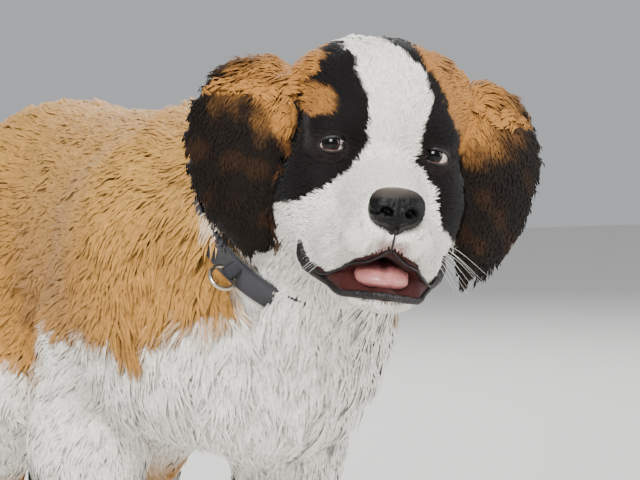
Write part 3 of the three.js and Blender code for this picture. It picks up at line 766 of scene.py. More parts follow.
def skin_mesh():
    """The forms joined, remeshed and settled on the smooth field, inside the solids by the coat's depth."""
    bm = bmesh.new()
    scale = Matrix.Scale(1, 4)
    flesh.add_to(bm, scale)
    for side in SIDES.values():
        add_ear(bm, side, scale, EAR_THINNER)
    for v in bm.verts:
        v.co = v.co * MM
    mesh = with_modifier(finished("skin_forms", bm), "REMESH", mode="VOXEL", voxel_size=VOXEL * MM)
    bm = bmesh.new()
    bm.from_mesh(mesh)
    bpy.data.meshes.remove(mesh)
    local = to_head(np.array([v.co[:] for v in bm.verts]) / MM)
    bm.verts.ensure_lookup_table()
    fine = (local[:, 1] < 16) & (np.linalg.norm(local, axis=1) < 140) & (np.abs(local[:, 0]) < 62)
    edges = [e for e in bm.edges if fine[e.verts[0].index] and fine[e.verts[1].index]]
    bmesh.ops.subdivide_edges(bm, edges=edges, cuts=1, use_grid_fill=True)
    bmesh.ops.triangulate(bm, faces=[f for f in bm.faces if len(f.verts) > 4])
    mesh = finished("skin", bm)
    points = coordinates(mesh) / MM
    ear_hold = smooth(1.5, 6, flesh(points))
    for _ in range(5):
        normal = slope(flesh, points)
        depth = coat_depth(points)
        move = np.clip(flesh(points) + depth, -14, 14)
        points = points - normal * (move * (1 - ear_hold))[:, None]
    points[:, 2] = np.maximum(points[:, 2], FLOOR_GAP - ORIGIN[2])
    set_coordinates(mesh, points * MM)
    return mesh


def relax(mesh, rounds, weight=None, factor=0.5):
    """Evens a mesh by moving each point towards the mean of its neighbours."""
    count = len(mesh.vertices)
    edges = np.empty(len(mesh.edges) * 2, dtype=np.int64)
    mesh.edges.foreach_get("vertices", edges)
    a, b = edges[0::2], edges[1::2]
    points = coordinates(mesh)
    degree = np.bincount(a, minlength=count) + np.bincount(b, minlength=count)
    for _ in range(rounds):
        total = np.zeros_like(points)
        for axis in range(3):
            total[:, axis] = np.bincount(a, points[b, axis], count) + np.bincount(b, points[a, axis], count)
        mean = total / np.maximum(degree, 1)[:, None]
        share = factor if weight is None else factor * weight[:, None]
        points = points + (mean - points) * share
    set_coordinates(mesh, points)


EYE_OPENING = (10.2, 5.8)  # half width and half height of the almond
EYE_TILT = 6  # degrees that the outer corner drops


def almond(local, side):
    """Below 1 inside the opening of the lids, for points in the head's frame."""
    u = (local[:, 0] - side * (EYE_SPACING / 2 + 0.3)) * side
    v = local[:, 2] + 0.3 + math.tan(math.radians(EYE_TILT)) * u
    half_high = EYE_OPENING[1] * np.sqrt(np.clip(1 - (u / EYE_OPENING[0]) ** 2, 0.0, 1)) ** 0.8
    lower = np.where(v < 0, 0.86, 1.06)
    return np.where(np.abs(u) < EYE_OPENING[0], np.abs(v) / np.maximum(half_high * lower, 0.2), 2.0)


def open_eyes(mesh):
    """Sinks the skin behind each almond so that the eyeball shows."""
    points = coordinates(mesh) / MM
    local = to_head(points)
    for side in SIDES.values():
        near = (local[:, 1] < 6) & (almond(local, side) < 1.0)
        local[near, 1] = np.maximum(local[near, 1], EYE_DEPTH + 2)
    set_coordinates(mesh, from_head(local) * MM)


def make_skin():
    """The skin with its markings and unwrap, in place of every node of flesh."""
    mesh = skin_mesh()
    relax(mesh, 3)
    points = coordinates(mesh) / MM
    apart = ear_place(to_head(points))[2]
    relax(mesh, 6, weight=smooth(6, 1, apart) * smooth(2, 6, flesh(points)))
    open_eyes(mesh)
    points = coordinates(mesh) / MM
    ear = ear_place(to_head(points))
    store_colour(mesh, coat_colour(points, ear))
    set_coordinates(mesh, to_frame(points))
    skin = mesh_object("skin", mesh, coat_material("skin_with_short_hair", 420), FLESH_NODES)
    bpy.context.view_layer.objects.active = skin
    skin.select_set(True)
    bpy.ops.object.mode_set(mode="EDIT")
    bpy.ops.mesh.select_all(action="SELECT")
    bpy.ops.uv.smart_project(angle_limit=math.radians(66), island_margin=0.0005)
    bpy.ops.object.mode_set(mode="OBJECT")
    skin.select_set(False)
    skin.data.uv_layers[0].name = "OFBake"
    return skin


# Tufts
TUFT_LIMIT = 32000  # tufts in one piece, of six triangles each
PATCH = 0.0015  # half the width of a tuft's patch on the unwrap
ROOT_SUNK = 1.6
FLOOR_GAP = 0.7  # hair ends this far above the floor
BODY_GAP = 2.25  # spacing of the roots on the body
FACE_GAP = 1.25
SEED = 20


class Roots:
    """Places on the skin where tufts grow: their positions, ways out and places on the unwrap."""

    def __init__(self, skin):
        mesh = skin.data
        mesh.calc_loop_triangles()
        count = len(mesh.loop_triangles)
        corners = np.empty(count * 3, dtype=np.int64)
        mesh.loop_triangles.foreach_get("vertices", corners)
        loops = np.empty(count * 3, dtype=np.int64)
        mesh.loop_triangles.foreach_get("loops", loops)
        uv = np.empty(len(mesh.loops) * 2)
        mesh.uv_layers["OFBake"].data.foreach_get("uv", uv)
        points = to_dog(coordinates(mesh))
        normals = np.empty(len(mesh.vertices) * 3)
        mesh.vertices.foreach_get("normal", normals)
        normals = normals.reshape(-1, 3)
        corners, loops, uv = corners.reshape(-1, 3), loops.reshape(-1, 3), uv.reshape(-1, 2)
        a, b, c = (points[corners[:, i]] for i in range(3))
        area = np.linalg.norm(np.cross(b - a, c - a), axis=1) / 2
        middle = (a + b + c) / 3
        gap = root_gap(middle)
        rng = np.random.default_rng(SEED)
        wanted = area / gap**2
        number = np.floor(wanted + rng.random(count)).astype(int)
        pick = np.repeat(np.arange(count), number)
        u, v = rng.random(len(pick)), rng.random(len(pick))
        flip = u + v > 1
        u, v = np.where(flip, 1 - u, u), np.where(flip, 1 - v, v)
        share = np.stack([1 - u - v, u, v], axis=1)[:, :, None]
        self.point = np.sum(points[corners[pick]] * share, axis=1)
        self.normal = unit(np.sum(normals[corners[pick]] * share, axis=1))
        self.uv = np.sum(uv[loops[pick]] * share, axis=1)


def root_gap(points):
    """Spacing of roots, in millimetres: closest on the face and feet."""
    local = to_head(points)
    gap = np.full(len(points), BODY_GAP)
    leg = leg_share(points)
    gap += (1.55 + 0.5 * smooth(60, 260, points[:, 2]) - gap) * leg
    face_gap = FACE_GAP + 0.8 * smooth(0, 60, local[:, 1])
    gap += (face_gap - gap) * head_share(points)
    return gap


def bare(points):
    """True where no hair grows: mouth, lips, openings of the eyes, nose, soles and by the collar's ring."""
    local = to_head(points)
    mouth = np.linalg.norm((local - [0, -46, -82]) / [26, 41, 13], axis=1) < 1
    nose = np.linalg.norm((local - [0, -92, -39]) / [20, 14, 15.5], axis=1) < 1
    eye = np.zeros(len(points), bool)
    for side in SIDES.values():
        eye |= (local[:, 1] < 14) & (almond(local, side) < 1.45)
    lips = (between_lips(local) < 1) | (lip_room(points, local) < 0) | mouth_back(local)
    return mouth | lips | nose | eye | (points[:, 2] < 2) | (collar_shows(points) > 0.5)


def collar_shows(points, low=-15, high=15):
    """1 where the band of the collar is free of hair, by its ring."""
    off = points - COLLAR_POINT
    along = off @ COLLAR_AXIS
    way = unit(off - along[:, None] * COLLAR_AXIS)
    ring = unit(RING_SIDE - (RING_SIDE @ COLLAR_AXIS) * COLLAR_AXIS)
    return smooth(0.90, 0.94, way @ ring) * (along > low) * (along < high) * (size(off) < 150)


def tuft_arrays(roots, ear, settings):
    """Middle and tip points, half widths and ways across of every tuft."""
    n = len(roots.point)
    rng = np.random.default_rng(SEED + 1)
    p, normal = roots.point, roots.normal
    share, across, apart, down, ear_out, ear_across = ear
    on_ear = smooth(4, 0, apart) * smooth(1.5, 4.5, flesh(p) + 1.6)
    lie = coat_lie(p, normal)
    outer = np.sum(normal * (ear_out @ HEAD_ROTATION.T), axis=1)
    ear_lie = down @ HEAD_ROTATION.T + 0.35 * (across / 45)[:, None] * (ear_across @ HEAD_ROTATION.T)
    ear_lie[:, 2] -= 0.35
    lie = unit(lie + (ear_lie - lie) * on_ear[:, None])
    length = coat_length(p, normal)
    ear_length = 8 + 9 * smooth(0.42, 0.12, share) + 4 * smooth(0.7, 0.98, np.abs(across) / 50)
    ear_length = np.where(outer > -0.2, ear_length, 8)
    length = length + (ear_length - length) * on_ear
    length *= settings.coat_scale * (1 + 0.16 * wave(p, 34, 41)) * rng.uniform(0.78, 1.18, n)
    length *= 1 - 0.55 * collar_shows(p, 15, 40)
    length = np.minimum(length, 2.5 + 0.8 * np.maximum(lip_room(p, to_head(p)), 0))
    swing = 0.42 * wave(p, 46, 42) + 0.22 * wave(p, 15, 43) + rng.normal(0, 0.13, n)
    still = smooth(4, 14, length)
    swing *= 0.3 + 0.7 * still
    bend = np.cross(normal, lie)
    lie = unit(lie * np.cos(swing)[:, None] + bend * np.sin(swing)[:, None])
    lie = unit(lie - np.sum(lie * normal, axis=1, keepdims=True) * normal)
    across_way = np.cross(normal, lie)
    lift = np.clip(0.40 + 0.10 * wave(p, 24, 44) + rng.normal(0, 0.05, n), 0.16, 0.7)
    lift *= (0.62 + 0.38 * still) * (1 - 0.4 * on_ear)
    middle = p + lie * (0.5 * length)[:, None] + normal * (0.62 * lift * length)[:, None]
    tip = p + lie * (0.93 * length)[:, None] + normal * (0.80 * lift * length)[:, None]
    tip[:, 2] -= 0.05 * length * still
    curl = settings.curl * still * length * np.sin(rng.uniform(0, 6.3, n))
    tip += across_way * (0.10 * curl)[:, None]
    middle -= across_way * (0.05 * curl)[:, None]
    # the hair follows the round of the body
    for at, share_of in ((middle, 0.62), (tip, 0.80)):
        wanted = share_of * lift * length
        height = flesh(at) - flesh(p)
        fix = np.clip(wanted - height, -0.5 * length, 0.5 * length) * (1 - on_ear)
        at += normal * fix[:, None]
    # clumps draw the tips together
    heads = np.nonzero(rng.integers(0, 14, n) == 7)[0]
    tree = kdtree.KDTree(len(heads))
    for index, head_root in enumerate(heads):
        tree.insert(p[head_root], index)
    tree.balance()
    leader = heads[np.array([tree.find(point)[1] for point in p])]
    pull = (0.62 * still * np.exp(-np.linalg.norm(p - p[leader], axis=1) / 14))[:, None]
    tip += (tip[leader] + 0.35 * (p - p[leader]) - tip) * pull
    middle += (middle[leader] + 0.7 * (p - p[leader]) - middle) * (0.45 * pull)
    for at in (middle, tip):
        at[:, 2] = np.maximum(at[:, 2], FLOOR_GAP - ORIGIN[2])
    width = np.clip(0.32 + 0.055 * length, 0.5, 1.8) * rng.uniform(0.7, 1.25, n)
    return middle, tip, width, across_way


def tuft_mesh(name, roots, chosen, tufts, colour):
    """One joined mesh of closed tufts: a bent spindle of six triangles for each root."""
    n = len(chosen)
    p, normal = roots.point[chosen], roots.normal[chosen]
    mid, end, half, side = (values[chosen] for values in tufts)
    half = half[:, None]
    top = unit(np.cross(unit(end - p), side))
    top *= np.sign(np.sum(top * normal, axis=1, keepdims=True))
    around = [mid - side * half, mid + side * half, mid + top * half * 0.6]
    points = np.stack([p - normal * ROOT_SUNK, *around, end], axis=1)
    faces = np.array([[0, 2, 1], [4, 1, 2], [0, 1, 3], [0, 3, 2], [4, 3, 1], [4, 2, 3]])
    index = (np.arange(n)[:, None, None] * 5 + faces[None]).reshape(-1)
    mesh = bpy.data.meshes.new(name)
    mesh.vertices.add(n * 5)
    mesh.vertices.foreach_set("co", np.ascontiguousarray(to_frame(points.reshape(-1, 3)), np.float32).ravel())
    mesh.loops.add(len(index))
    mesh.loops.foreach_set("vertex_index", index.astype(np.int32))
    mesh.polygons.add(n * 6)
    mesh.polygons.foreach_set("loop_start", np.arange(n * 6, dtype=np.int32) * 3)
    mesh.polygons.foreach_set("use_smooth", np.ones(n * 6, bool))
    mesh.update(calc_edges=True)
    spot = np.array([[0, -1], [-1, 0], [1, 0], [0, 0], [0, 1]]) * PATCH
    uv = (roots.uv[chosen][:, None, :] + spot[None]).reshape(-1, 2)[index]
    layer = mesh.uv_layers.new(name="OFBake")
    layer.data.foreach_set("uv", np.ascontiguousarray(uv, np.float32).ravel())
    # Painted shade: each tuft's colour is darkened towards its root and lightened slightly at its tip.
    shade = np.array([0.84, 0.96, 0.96, 1.0, 1.05])[None, :, None]
    store_colour(mesh, np.clip(colour[chosen][:, None, :] * shade, 0, 1).reshape(-1, 3))
    lean = np.array([0, -0.3, 0.3, 0, 0])[None, :, None] * side[:, None, :]
    soft = unit(normal[:, None, :] + lean)
    mesh.normals_split_custom_set_from_vertices(soft.reshape(-1, 3))
    return mesh


def make_coat(skin, settings):
    """Tufts at the skin's roots, in pieces for the head with its ears, the legs and the body."""
    roots = Roots(skin)
    keep = ~bare(roots.point)
    for name in ("point", "normal", "uv"):
        setattr(roots, name, getattr(roots, name)[keep])
    ear = ear_place(to_head(roots.point))
    tufts = tuft_arrays(roots, ear, settings)
    colour = coat_colour(roots.point, ear)
    rng = np.random.default_rng(SEED + 2)
    colour = colour * rng.uniform(0.86, 1.10, len(colour))[:, None]
    material = coat_material("coat_hair", 300)
    local = to_head(roots.point)
    on_head = (head_share(roots.point) > 0.5) | (ear[2] < 4)
    region = np.where(on_head, 0, np.where(leg_share(roots.point) > 0.5, 1, 2))
    order_by = {0: -local[:, 1], 1: roots.point[:, 0], 2: roots.point[:, 1]}
    for number, label in enumerate(("head", "legs", "body")):
        members = np.nonzero(region == number)[0]
        members = members[np.argsort(order_by[number][members], kind="stable")]
        parts = max(1, math.ceil(len(members) / TUFT_LIMIT))
        for part, chosen in enumerate(np.array_split(members, parts)):
            name = f"coat_{label}_{part + 1}"
            mesh = tuft_mesh(name, roots, chosen, tufts, colour)
            mesh_object(name, mesh, material)


# Eyes
def ball_mesh(bm, centre, radius, rings=24):
    matrix = Matrix.Translation(centre) @ Matrix.Rotation(math.radians(90), 4, "X")
    return bmesh.ops.create_uvsphere(bm, u_segments=2 * rings, v_segments=rings, radius=radius, matrix=matrix)


GAZE = (-0.28, -1.0, 0.12)  # way that both eyes look, in the head's frame
IRIS = 7.2
PUPIL = 4.6
CORNEA = 1.0  # how far the cornea stands out


def eye_material(name, centre, gaze):
    """A wet dark brown eye: pupil, streaked iris, dark edge and pinkish white, by the angle from the gaze."""
    material, tree, shader = new_material(name, Roughness=0.04, IOR=1.38)
    place = add_node(tree, "ShaderNodeTexCoord").outputs["Object"]
    off = add_node(tree, "ShaderNodeVectorMath", {1: centre}, {0: place}, operation="SUBTRACT")
    way = add_node(tree, "ShaderNodeVectorMath", (), {0: off.outputs["Vector"]}, operation="NORMALIZE")
    way = way.outputs["Vector"]
    along = add_node(tree, "ShaderNodeVectorMath", {1: gaze}, {0: way}, operation="DOT_PRODUCT")
    streaks = noise(tree, 900, 3).outputs["Fac"]
    small = add_node(tree, "ShaderNodeMath", {1: 0.012}, {0: streaks}, operation="MULTIPLY")
    sum_of = {0: along.outputs["Value"], 1: small.outputs["Value"]}
    total = add_node(tree, "ShaderNodeMath", (), sum_of, operation="ADD")
    ramp = add_node(tree, "ShaderNodeValToRGB", {}, {"Fac": total.outputs["Value"]})
    bands = [(0.0, srgb(0x9C8880))]
    for radius, hex_value in (
        (IRIS * 1.10, 0xC2B6AE), (IRIS, 0x0A0503), (IRIS * 0.86, 0x1E0E05),
        (PUPIL * 1.25, 0x2A1407), (PUPIL, 0x020101),
    ):
        bands.append((math.cos(radius / EYE_BALL), srgb(hex_value)))
    elements = ramp.color_ramp.elements
    while len(elements) < len(bands):
        elements.new(0.5)
    for element, (position, colour) in zip(elements, bands):
        element.position, element.color = position, colour
    tree.links.new(ramp.outputs["Color"], shader.inputs["Base Color"])
    return material


def make_eyes():
    """Two eyeballs, each with a cornea that stands out over the iris."""
    gaze = unit(np.array([GAZE]))[0] @ HEAD_ROTATION.T
    for name, side in SIDES.items():
        centre = to_frame(from_head([side * EYE_SPACING / 2, EYE_DEPTH, 0]))
        bm = bmesh.new()
        made = ball_mesh(bm, Vector(centre), EYE_BALL * MM)
        for v in made["verts"]:
            way = (v.co - Vector(centre)).normalized()
            angle = math.acos(max(-1, min(1, way.dot(Vector(gaze)))))
            if angle < IRIS / EYE_BALL:
                v.co += way * CORNEA * math.cos(angle * EYE_BALL / IRIS * math.pi / 2) * MM
        material = eye_material(f"wet_eye_{name}", tuple(centre), tuple(gaze))
        mesh = finished(f"eyeball_{name}", bm)
        mesh_object(f"eyeball_{name}", mesh, material, [f"eye_{name}"])


def tube(bm, points, radii, flat=1.0, ups=None, sides=10, closed=False):
    """A smooth tube through points of the dog's frame, made of circles bridged one to the next."""
    points = np.asarray(points, float)
    n = len(points)
    previous, first = None, None
    for i in range(n):
        ahead = points[(i + 1) % n] if closed or i < n - 1 else points[i]
        behind = points[i - 1] if closed or i > 0 else points[i]
        along = Vector(ahead - behind).normalized()
        up = Vector(ups[i]) if ups is not None else Vector((0, 0, 1))
        side = along.cross(up).normalized()
        up = side.cross(along)
        turn = Matrix((side, up, along)).transposed().to_4x4()
        matrix = Matrix.Translation(to_frame(points[i])) @ turn @ Matrix.Diagonal((1, flat, 1, 1))
        made = bmesh.ops.create_circle(bm, segments=sides, radius=radii[i] * MM, matrix=matrix)
        edges = list({e for v in made["verts"] for e in v.link_edges})
        if previous:
            bmesh.ops.bridge_loops(bm, edges=previous + edges)
        else:
            first = edges
        previous = edges
    if closed:
        bmesh.ops.bridge_loops(bm, edges=previous + first)
    else:
        bmesh.ops.holes_fill(bm, edges=bm.edges, sides=sides)


def lid_line(side, grow=1.0, count=36, radius=EYE_BALL + 0.7):
    """Points round the almond, on a ball just outside the eyeball, in the head's frame."""
    points = []
    tilt = math.tan(math.radians(EYE_TILT))
    for i in range(count):
        angle = 2 * math.pi * i / count
        u = EYE_OPENING[0] * grow * math.cos(angle)
        share = abs(math.sin(angle)) ** 0.8
        v = EYE_OPENING[1] * grow * share * (1.06 if math.sin(angle) > 0 else -0.86)
        x, z = side * (u + 0.3), v - 0.3 - tilt * u
        y = -math.sqrt(max(4.0, radius**2 - x * x - z * z))
        points.append((side * EYE_SPACING / 2 + x, EYE_DEPTH + y, z))
    return np.array(points)


def skin_material(name, colour, rough=0.35, coat=0.4, grain=900, depth=0.0004, spread=0.25):
    """Bare moist skin: a mottled colour, fine grain as bump and a wet coat."""
    material, tree, _ = new_material(name, Roughness=rough, Coat_Weight=coat, Coat_Roughness=0.15)
    place = add_node(tree, "ShaderNodeTexCoord")
    cells = add_node(tree, "ShaderNodeTexVoronoi", {"Scale": grain}, {"Vector": place.outputs["Object"]})
    tinted(tree, colour, 1 - spread, 1 + spread, noise(tree, grain / 5, 3))
    roughen(tree, cells.outputs["Distance"], 0.5, depth)
    return material


def make_lids():
    """The dark wet rims of the lids, and the pink edge inside each lower lid."""
    rims = bmesh.new()
    inner = bmesh.new()
    for side in SIDES.values():
        line = lid_line(side)
        centre = np.array([side * EYE_SPACING / 2, EYE_DEPTH, 0])
        ups = [unit(p - centre) @ HEAD_ROTATION.T for p in line]
        radii = [1.35 + 0.25 * math.sin(2 * math.pi * i / len(line)) for i in range(len(line))]
        tube(rims, from_head(line), radii, 0.8, ups, 10, closed=True)
        low = lid_line(side, 0.90, radius=EYE_BALL + 0.35)[20:36]
        ups = [unit(p - centre) @ HEAD_ROTATION.T for p in low]
        radii = [0.75 * math.sin(math.pi * (i + 0.6) / (len(low) + 0.2)) + 0.12 for i in range(len(low))]
        tube(inner, from_head(low), radii, 0.7, ups, 8)
    dark = skin_material("dark_lid_skin", srgb(0x0D0908), rough=0.5, coat=0.0)
    mesh_object("lid_rims", finished("lid_rims", rims), dark)
    pink = skin_material("pink_lid_skin", srgb(0x8E5A54))
    mesh_object("lower_lid_edges", finished("lower_lid_edges", inner), pink)


# Nose
def carved(form, voxel):
    """A mesh settled on a form of the head's frame, and its points there in millimetres."""
    bm = bmesh.new()
    form.add_to(bm, Matrix.Scale(MM, 4))
    mesh = with_modifier(finished("carved", bm), "REMESH", mode="VOXEL", voxel_size=voxel * MM)
    points = coordinates(mesh) / MM
    for _ in range(3):
        points -= slope(form, points, 0.3) * form(points)[:, None]
    return mesh, points


def nose_form():
    """The nose pad: bridge, two wings, front and the point below."""
    return Blend(
        6,
        Ball((0, -88.5, -31), (17, 12, 9)),
        *both(lambda s: Ball((s * 10, -88, -38), (10, 13.5, 12))),
        Ball((0, -90, -41), (9, 13, 10)),
        Ball((0, -86, -50), (5.5, 9, 8)),
    )


def nose_material():
    """Moist nose leather: near black cobbles with a soft gloss, and a painted grey sheen along the top where
    the light from above falls.
    """
    cobbled = {"rough": 0.4, "coat": 0.0, "grain": 1100, "depth": 0.0005}
    material = skin_material("wet_nose_leather", srgb(0x050404), **cobbled)
    tree = material.node_tree
    shader = tree.nodes["Principled BSDF"]
    shader.inputs["Specular IOR Level"].default_value = 0.22
    tint = shader.inputs["Base Color"].links[0].from_socket
    # Painted sheen: from the top edge upwards the colour is lightened towards grey by height.
    place = add_node(tree, "ShaderNodeTexCoord")
    up = add_node(tree, "ShaderNodeSeparateXYZ", {}, {"Vector": place.outputs["Object"]})
    edge = to_frame(from_head([0, -88, -29]))[2]
    limits = {"From Min": edge - 0.001, "From Max": edge + 0.007, "To Max": 0.8}
    share = add_node(tree, "ShaderNodeMapRange", limits, {"Value": up.outputs["Z"]})
    painted_top_sheen = add_node(tree, "ShaderNodeMix", {"B": srgb(0x6A5F57)}, data_type="RGBA")
    tree.links.new(share.outputs["Result"], painted_top_sheen.inputs["Factor"])
    tree.links.new(tint, painted_top_sheen.inputs["A"])
    tree.links.new(painted_top_sheen.outputs["Result"], shader.inputs["Base Color"])
    return material


def make_nose():
    """The nose pad with its nostrils, their slits and the groove between them."""
    form = nose_form()
    mesh, points = carved(form, 0.9)
    normal = slope(form, points, 0.3)
    depth = np.zeros(len(points))
    for s in SIDES.values():
        hole = np.hypot((points[:, 0] - s * 9.2) / 4.8, (points[:, 2] + 39.5) / 3.9)
        bend = points[:, 2] + 42.6 - 0.3 * (np.abs(points[:, 0]) - 12)
        slit = np.hypot((points[:, 0] - s * 14.2) / 5.0, bend / 1.6)
        front = smooth(-87, -93, points[:, 1])
        depth = np.maximum(depth, 6.5 * smooth(1.15, 0.5, hole) * front)
        depth = np.maximum(depth, 3.6 * smooth(1.2, 0.4, slit) * smooth(-82, -89, points[:, 1]))
        depth -= 0.9 * smooth(1.9, 1.35, hole) * smooth(1.05, 1.3, hole) * front
    groove = smooth(1.9, 0.3, np.abs(points[:, 0])) * smooth(-84, -92, points[:, 1])
    depth = np.maximum(depth, 1.3 * groove * smooth(-33, -37, points[:, 2]))
    points -= normal * depth[:, None]
    points += normal * (0.3 * wave(points, 5, 61) * smooth(-27, -31, points[:, 2]))[:, None]
    set_coordinates(mesh, to_frame(from_head(points)))
    mesh_object("nose_pad", mesh, nose_material(), ["nose"])


# Mouth
def lip(bm, knots, radii, flat, sunk):
    """A lip along knots that are laid on the flesh, bumped like wrinkled skin."""
    line = catmull([settle(knot, flesh_local) for knot in knots], 7)
    out = slope(flesh_local, line)
    widths = np.interp(np.linspace(0, 1, len(line)), np.linspace(0, 1, len(radii)), radii)
    widths *= 1 + 0.10 * wave(line, 7, 81)
    ups = out @ HEAD_ROTATION.T
    tube(bm, from_head(line - out * (widths * sunk)[:, None]), widths, flat, ups, 14)


def mirror_knots(knots):
    """Knots that end on the middle, carried on over the other side."""
    return knots + [(-x, y, z) for x, y, z in reversed(knots[:-1])]


def make_mouth():
    """The tongue with its groove, and the dark lips along the lower jaw and under the flews."""
    form = Blend(9, Ball((0, -40, -85), (22, 34, 9.5)), Ball((0, -64, -90), (18, 15, 6)))
    mesh, points = carved(form, 1.3)
    top = smooth(-96, -86, points[:, 2])
    points[:, 2] -= 2.0 * smooth(5, 0, np.abs(points[:, 0])) * top
    points[:, 2] -= 0.4 * (wave(points, 9, 71) + 1) * top
    set_coordinates(mesh, to_frame(from_head(points)))
    wet = {"rough": 0.42, "coat": 0.25, "grain": 700, "depth": 0.0006, "spread": 0.1}
    material = skin_material("wet_tongue", srgb(0xB9736F), **wet)
    mesh_object("tongue_top", mesh, material, ["tongue"])
    lips = bmesh.new()
    lip(lips, mirror_knots(LOWER_LIP), LOWER_LIP_RADII + LOWER_LIP_RADII[-2::-1], 0.85, 0.35)
    for s in SIDES.values():
        lip(lips, [(-s * x, y, z) for x, y, z in UPPER_LIP], UPPER_LIP_RADII, 0.8, 0.3)
    lip(lips, PHILTRUM, [1.0, 0.7, 0.7, 0.8], 0.6, 0.3)
    dull = {"rough": 0.5, "coat": 0.0, "grain": 420, "depth": 0.0012, "spread": 0.2}
    material = skin_material("dark_lip_skin", srgb(0x120A0B), **dull)
    mesh_object("lips", finished("lips", lips), material)


def make_whiskers(number):
    """Long white bristles from the flews."""
    rng = np.random.default_rng(51)
    bm = bmesh.new()
    for side in SIDES.values():
        for _ in range(number):
            root = np.array([side * rng.uniform(27, 38), rng.uniform(-78, -44), rng.uniform(-72, -52)])
            way = np.array([side * rng.uniform(0.7, 1.0), rng.uniform(-0.25, 0.35), rng.uniform(-0.65, -0.1)])
            way = unit(way)
            length = rng.uniform(22, 46)
            root = settle(root, face_local)
            tip = root + way * length + [0, 0, -0.2 * length]
            line = [root - way * 2, root + way * length * 0.4, tip]
            tube(bm, from_head(catmull(line, 4)), np.linspace(0.2, 0.05, 9), 1, None, 5)
    # Smooth white bristle: bright fine lines against dark fur
    material, _, shader = new_material("whisker_bristle", Roughness=0.3)
    shader.inputs["Base Color"].default_value = srgb(0xE8E4DC)
    mesh_object("whiskers", finished("whiskers", bm), material)


# Claws
def make_claws():
    """A curved claw on each toe, its tip just over the floor."""
    bm = bmesh.new()
    for x, y in PAWS.values():
        for dx, dy in TOES:
            root = np.array([x + dx, y + dy - 19, 15.0])
            line = [root, root + [0, -6, 0.5], root + [0, -11, -3.0], root + [0, -14, -8.5]]
            line = catmull(line, 3)
            tube(bm, line, np.linspace(3.4, 0.7, len(line)), 0.8, None, 10)
    # Polished horn: brown to straw in streaks, with a soft gloss
    material, tree, shader = new_material("claw_horn", Roughness=0.3, Coat_Weight=0.3)
    ramp = add_node(tree, "ShaderNodeValToRGB", {}, {"Fac": noise(tree, 350, 2).outputs["Fac"]})
    ramp.color_ramp.elements[0].color = srgb(0x4A3B30)
    ramp.color_ramp.elements[1].color = srgb(0xB9A48E)
    tree.links.new(ramp.outputs["Color"], shader.inputs["Base Color"])
    mesh_object("claws", finished("claws", bm), material)


# Collar
COLLAR_POINT = np.array([18.0, -250.0, 440.0])
COLLAR_AXIS = unit(np.array([0.06, -0.81, 0.588]))
COLLAR_WIDTH = 24.0
COLLAR_THICK = 2.6
COLLAR_PROUD = -6.0  # outside face of the band, from the tips of the coat
COLLAR_STEPS = 120
RING_SIDE = np.array([-0.86, -0.35, -0.36])
RING_RADIUS = 10.0
RING_BAR = 1.6


def collar_ring_points():
    """Points round the neck at the collar's middle, and the ways out there."""
    first = -unit(np.cross(np.cross(RING_SIDE, COLLAR_AXIS), COLLAR_AXIS))
    second = np.cross(COLLAR_AXIS, first)
    whole = Blend(30, body, head)
    angles = np.linspace(0, 2 * math.pi, COLLAR_STEPS, endpoint=False)
    ways = np.cos(angles)[:, None] * first + np.sin(angles)[:, None] * second
    reach = np.full(COLLAR_STEPS, 60.0)
    for _ in range(60):
        reach = reach - np.clip(whole(COLLAR_POINT + ways * reach[:, None]), -8, 8)
    return COLLAR_POINT + ways * (reach + COLLAR_PROUD)[:, None], ways


def webbing(name, scale, dark, light, place_by):
    """Nylon webbing: near black with a fine cross weave, dull with a faint sheen."""
    material, tree, shader = new_material(name, Roughness=0.75)
    place = add_node(tree, "ShaderNodeTexCoord")
    values = {"Scale": scale, "Color1": srgb(dark), "Color2": srgb(light)}
    weave = add_node(tree, "ShaderNodeTexChecker", values, {"Vector": place.outputs[place_by]})
    tree.links.new(weave.outputs["Color"], shader.inputs["Base Color"])
    return material, tree, shader, weave


def make_collar(points, ways):
    """The band of webbing with its raised edges, round the neck through points."""
    half = COLLAR_WIDTH / 2
    profile = [(-half, 0), (-half + 1, 0.6), (-half + 3, 0.3), (half - 3, 0.3), (half - 1, 0.6), (half, 0),
               (half, -COLLAR_THICK), (-half, -COLLAR_THICK)]
    bm = bmesh.new()
    uv = bm.loops.layers.uv.new("weave")
    rings = []
    for point, way in zip(points, ways):
        rings.append([bm.verts.new(to_frame(point + COLLAR_AXIS * a + way * o)) for a, o in profile])
    length = np.linalg.norm(np.roll(points, -1, axis=0) - points, axis=1)
    run = np.concatenate([[0], np.cumsum(length)]) * MM
    for i in range(COLLAR_STEPS):
        here, there = rings[i], rings[(i + 1) % COLLAR_STEPS]
        for j in range(len(profile)):
            k = (j + 1) % len(profile)
            face_made = bm.faces.new((here[j], there[j], there[k], here[k]))
            corners = ((run[i], j), (run[i + 1], j), (run[i + 1], k), (run[i], k))
            for loop, (u, v) in zip(face_made.loops, corners):
                loop[uv].uv = (u, profile[v][0] * MM)
    material, tree, shader, weave = webbing("nylon_webbing", 620, 0x14141A, 0x2A2A33, "UV")
    shader.inputs["Sheen Weight"].default_value = 0.3
    roughen(tree, weave.outputs["Fac"], 0.7, 0.0006)
    mesh_object("collar_band", finished("collar_band", bm), material, ["collar"])


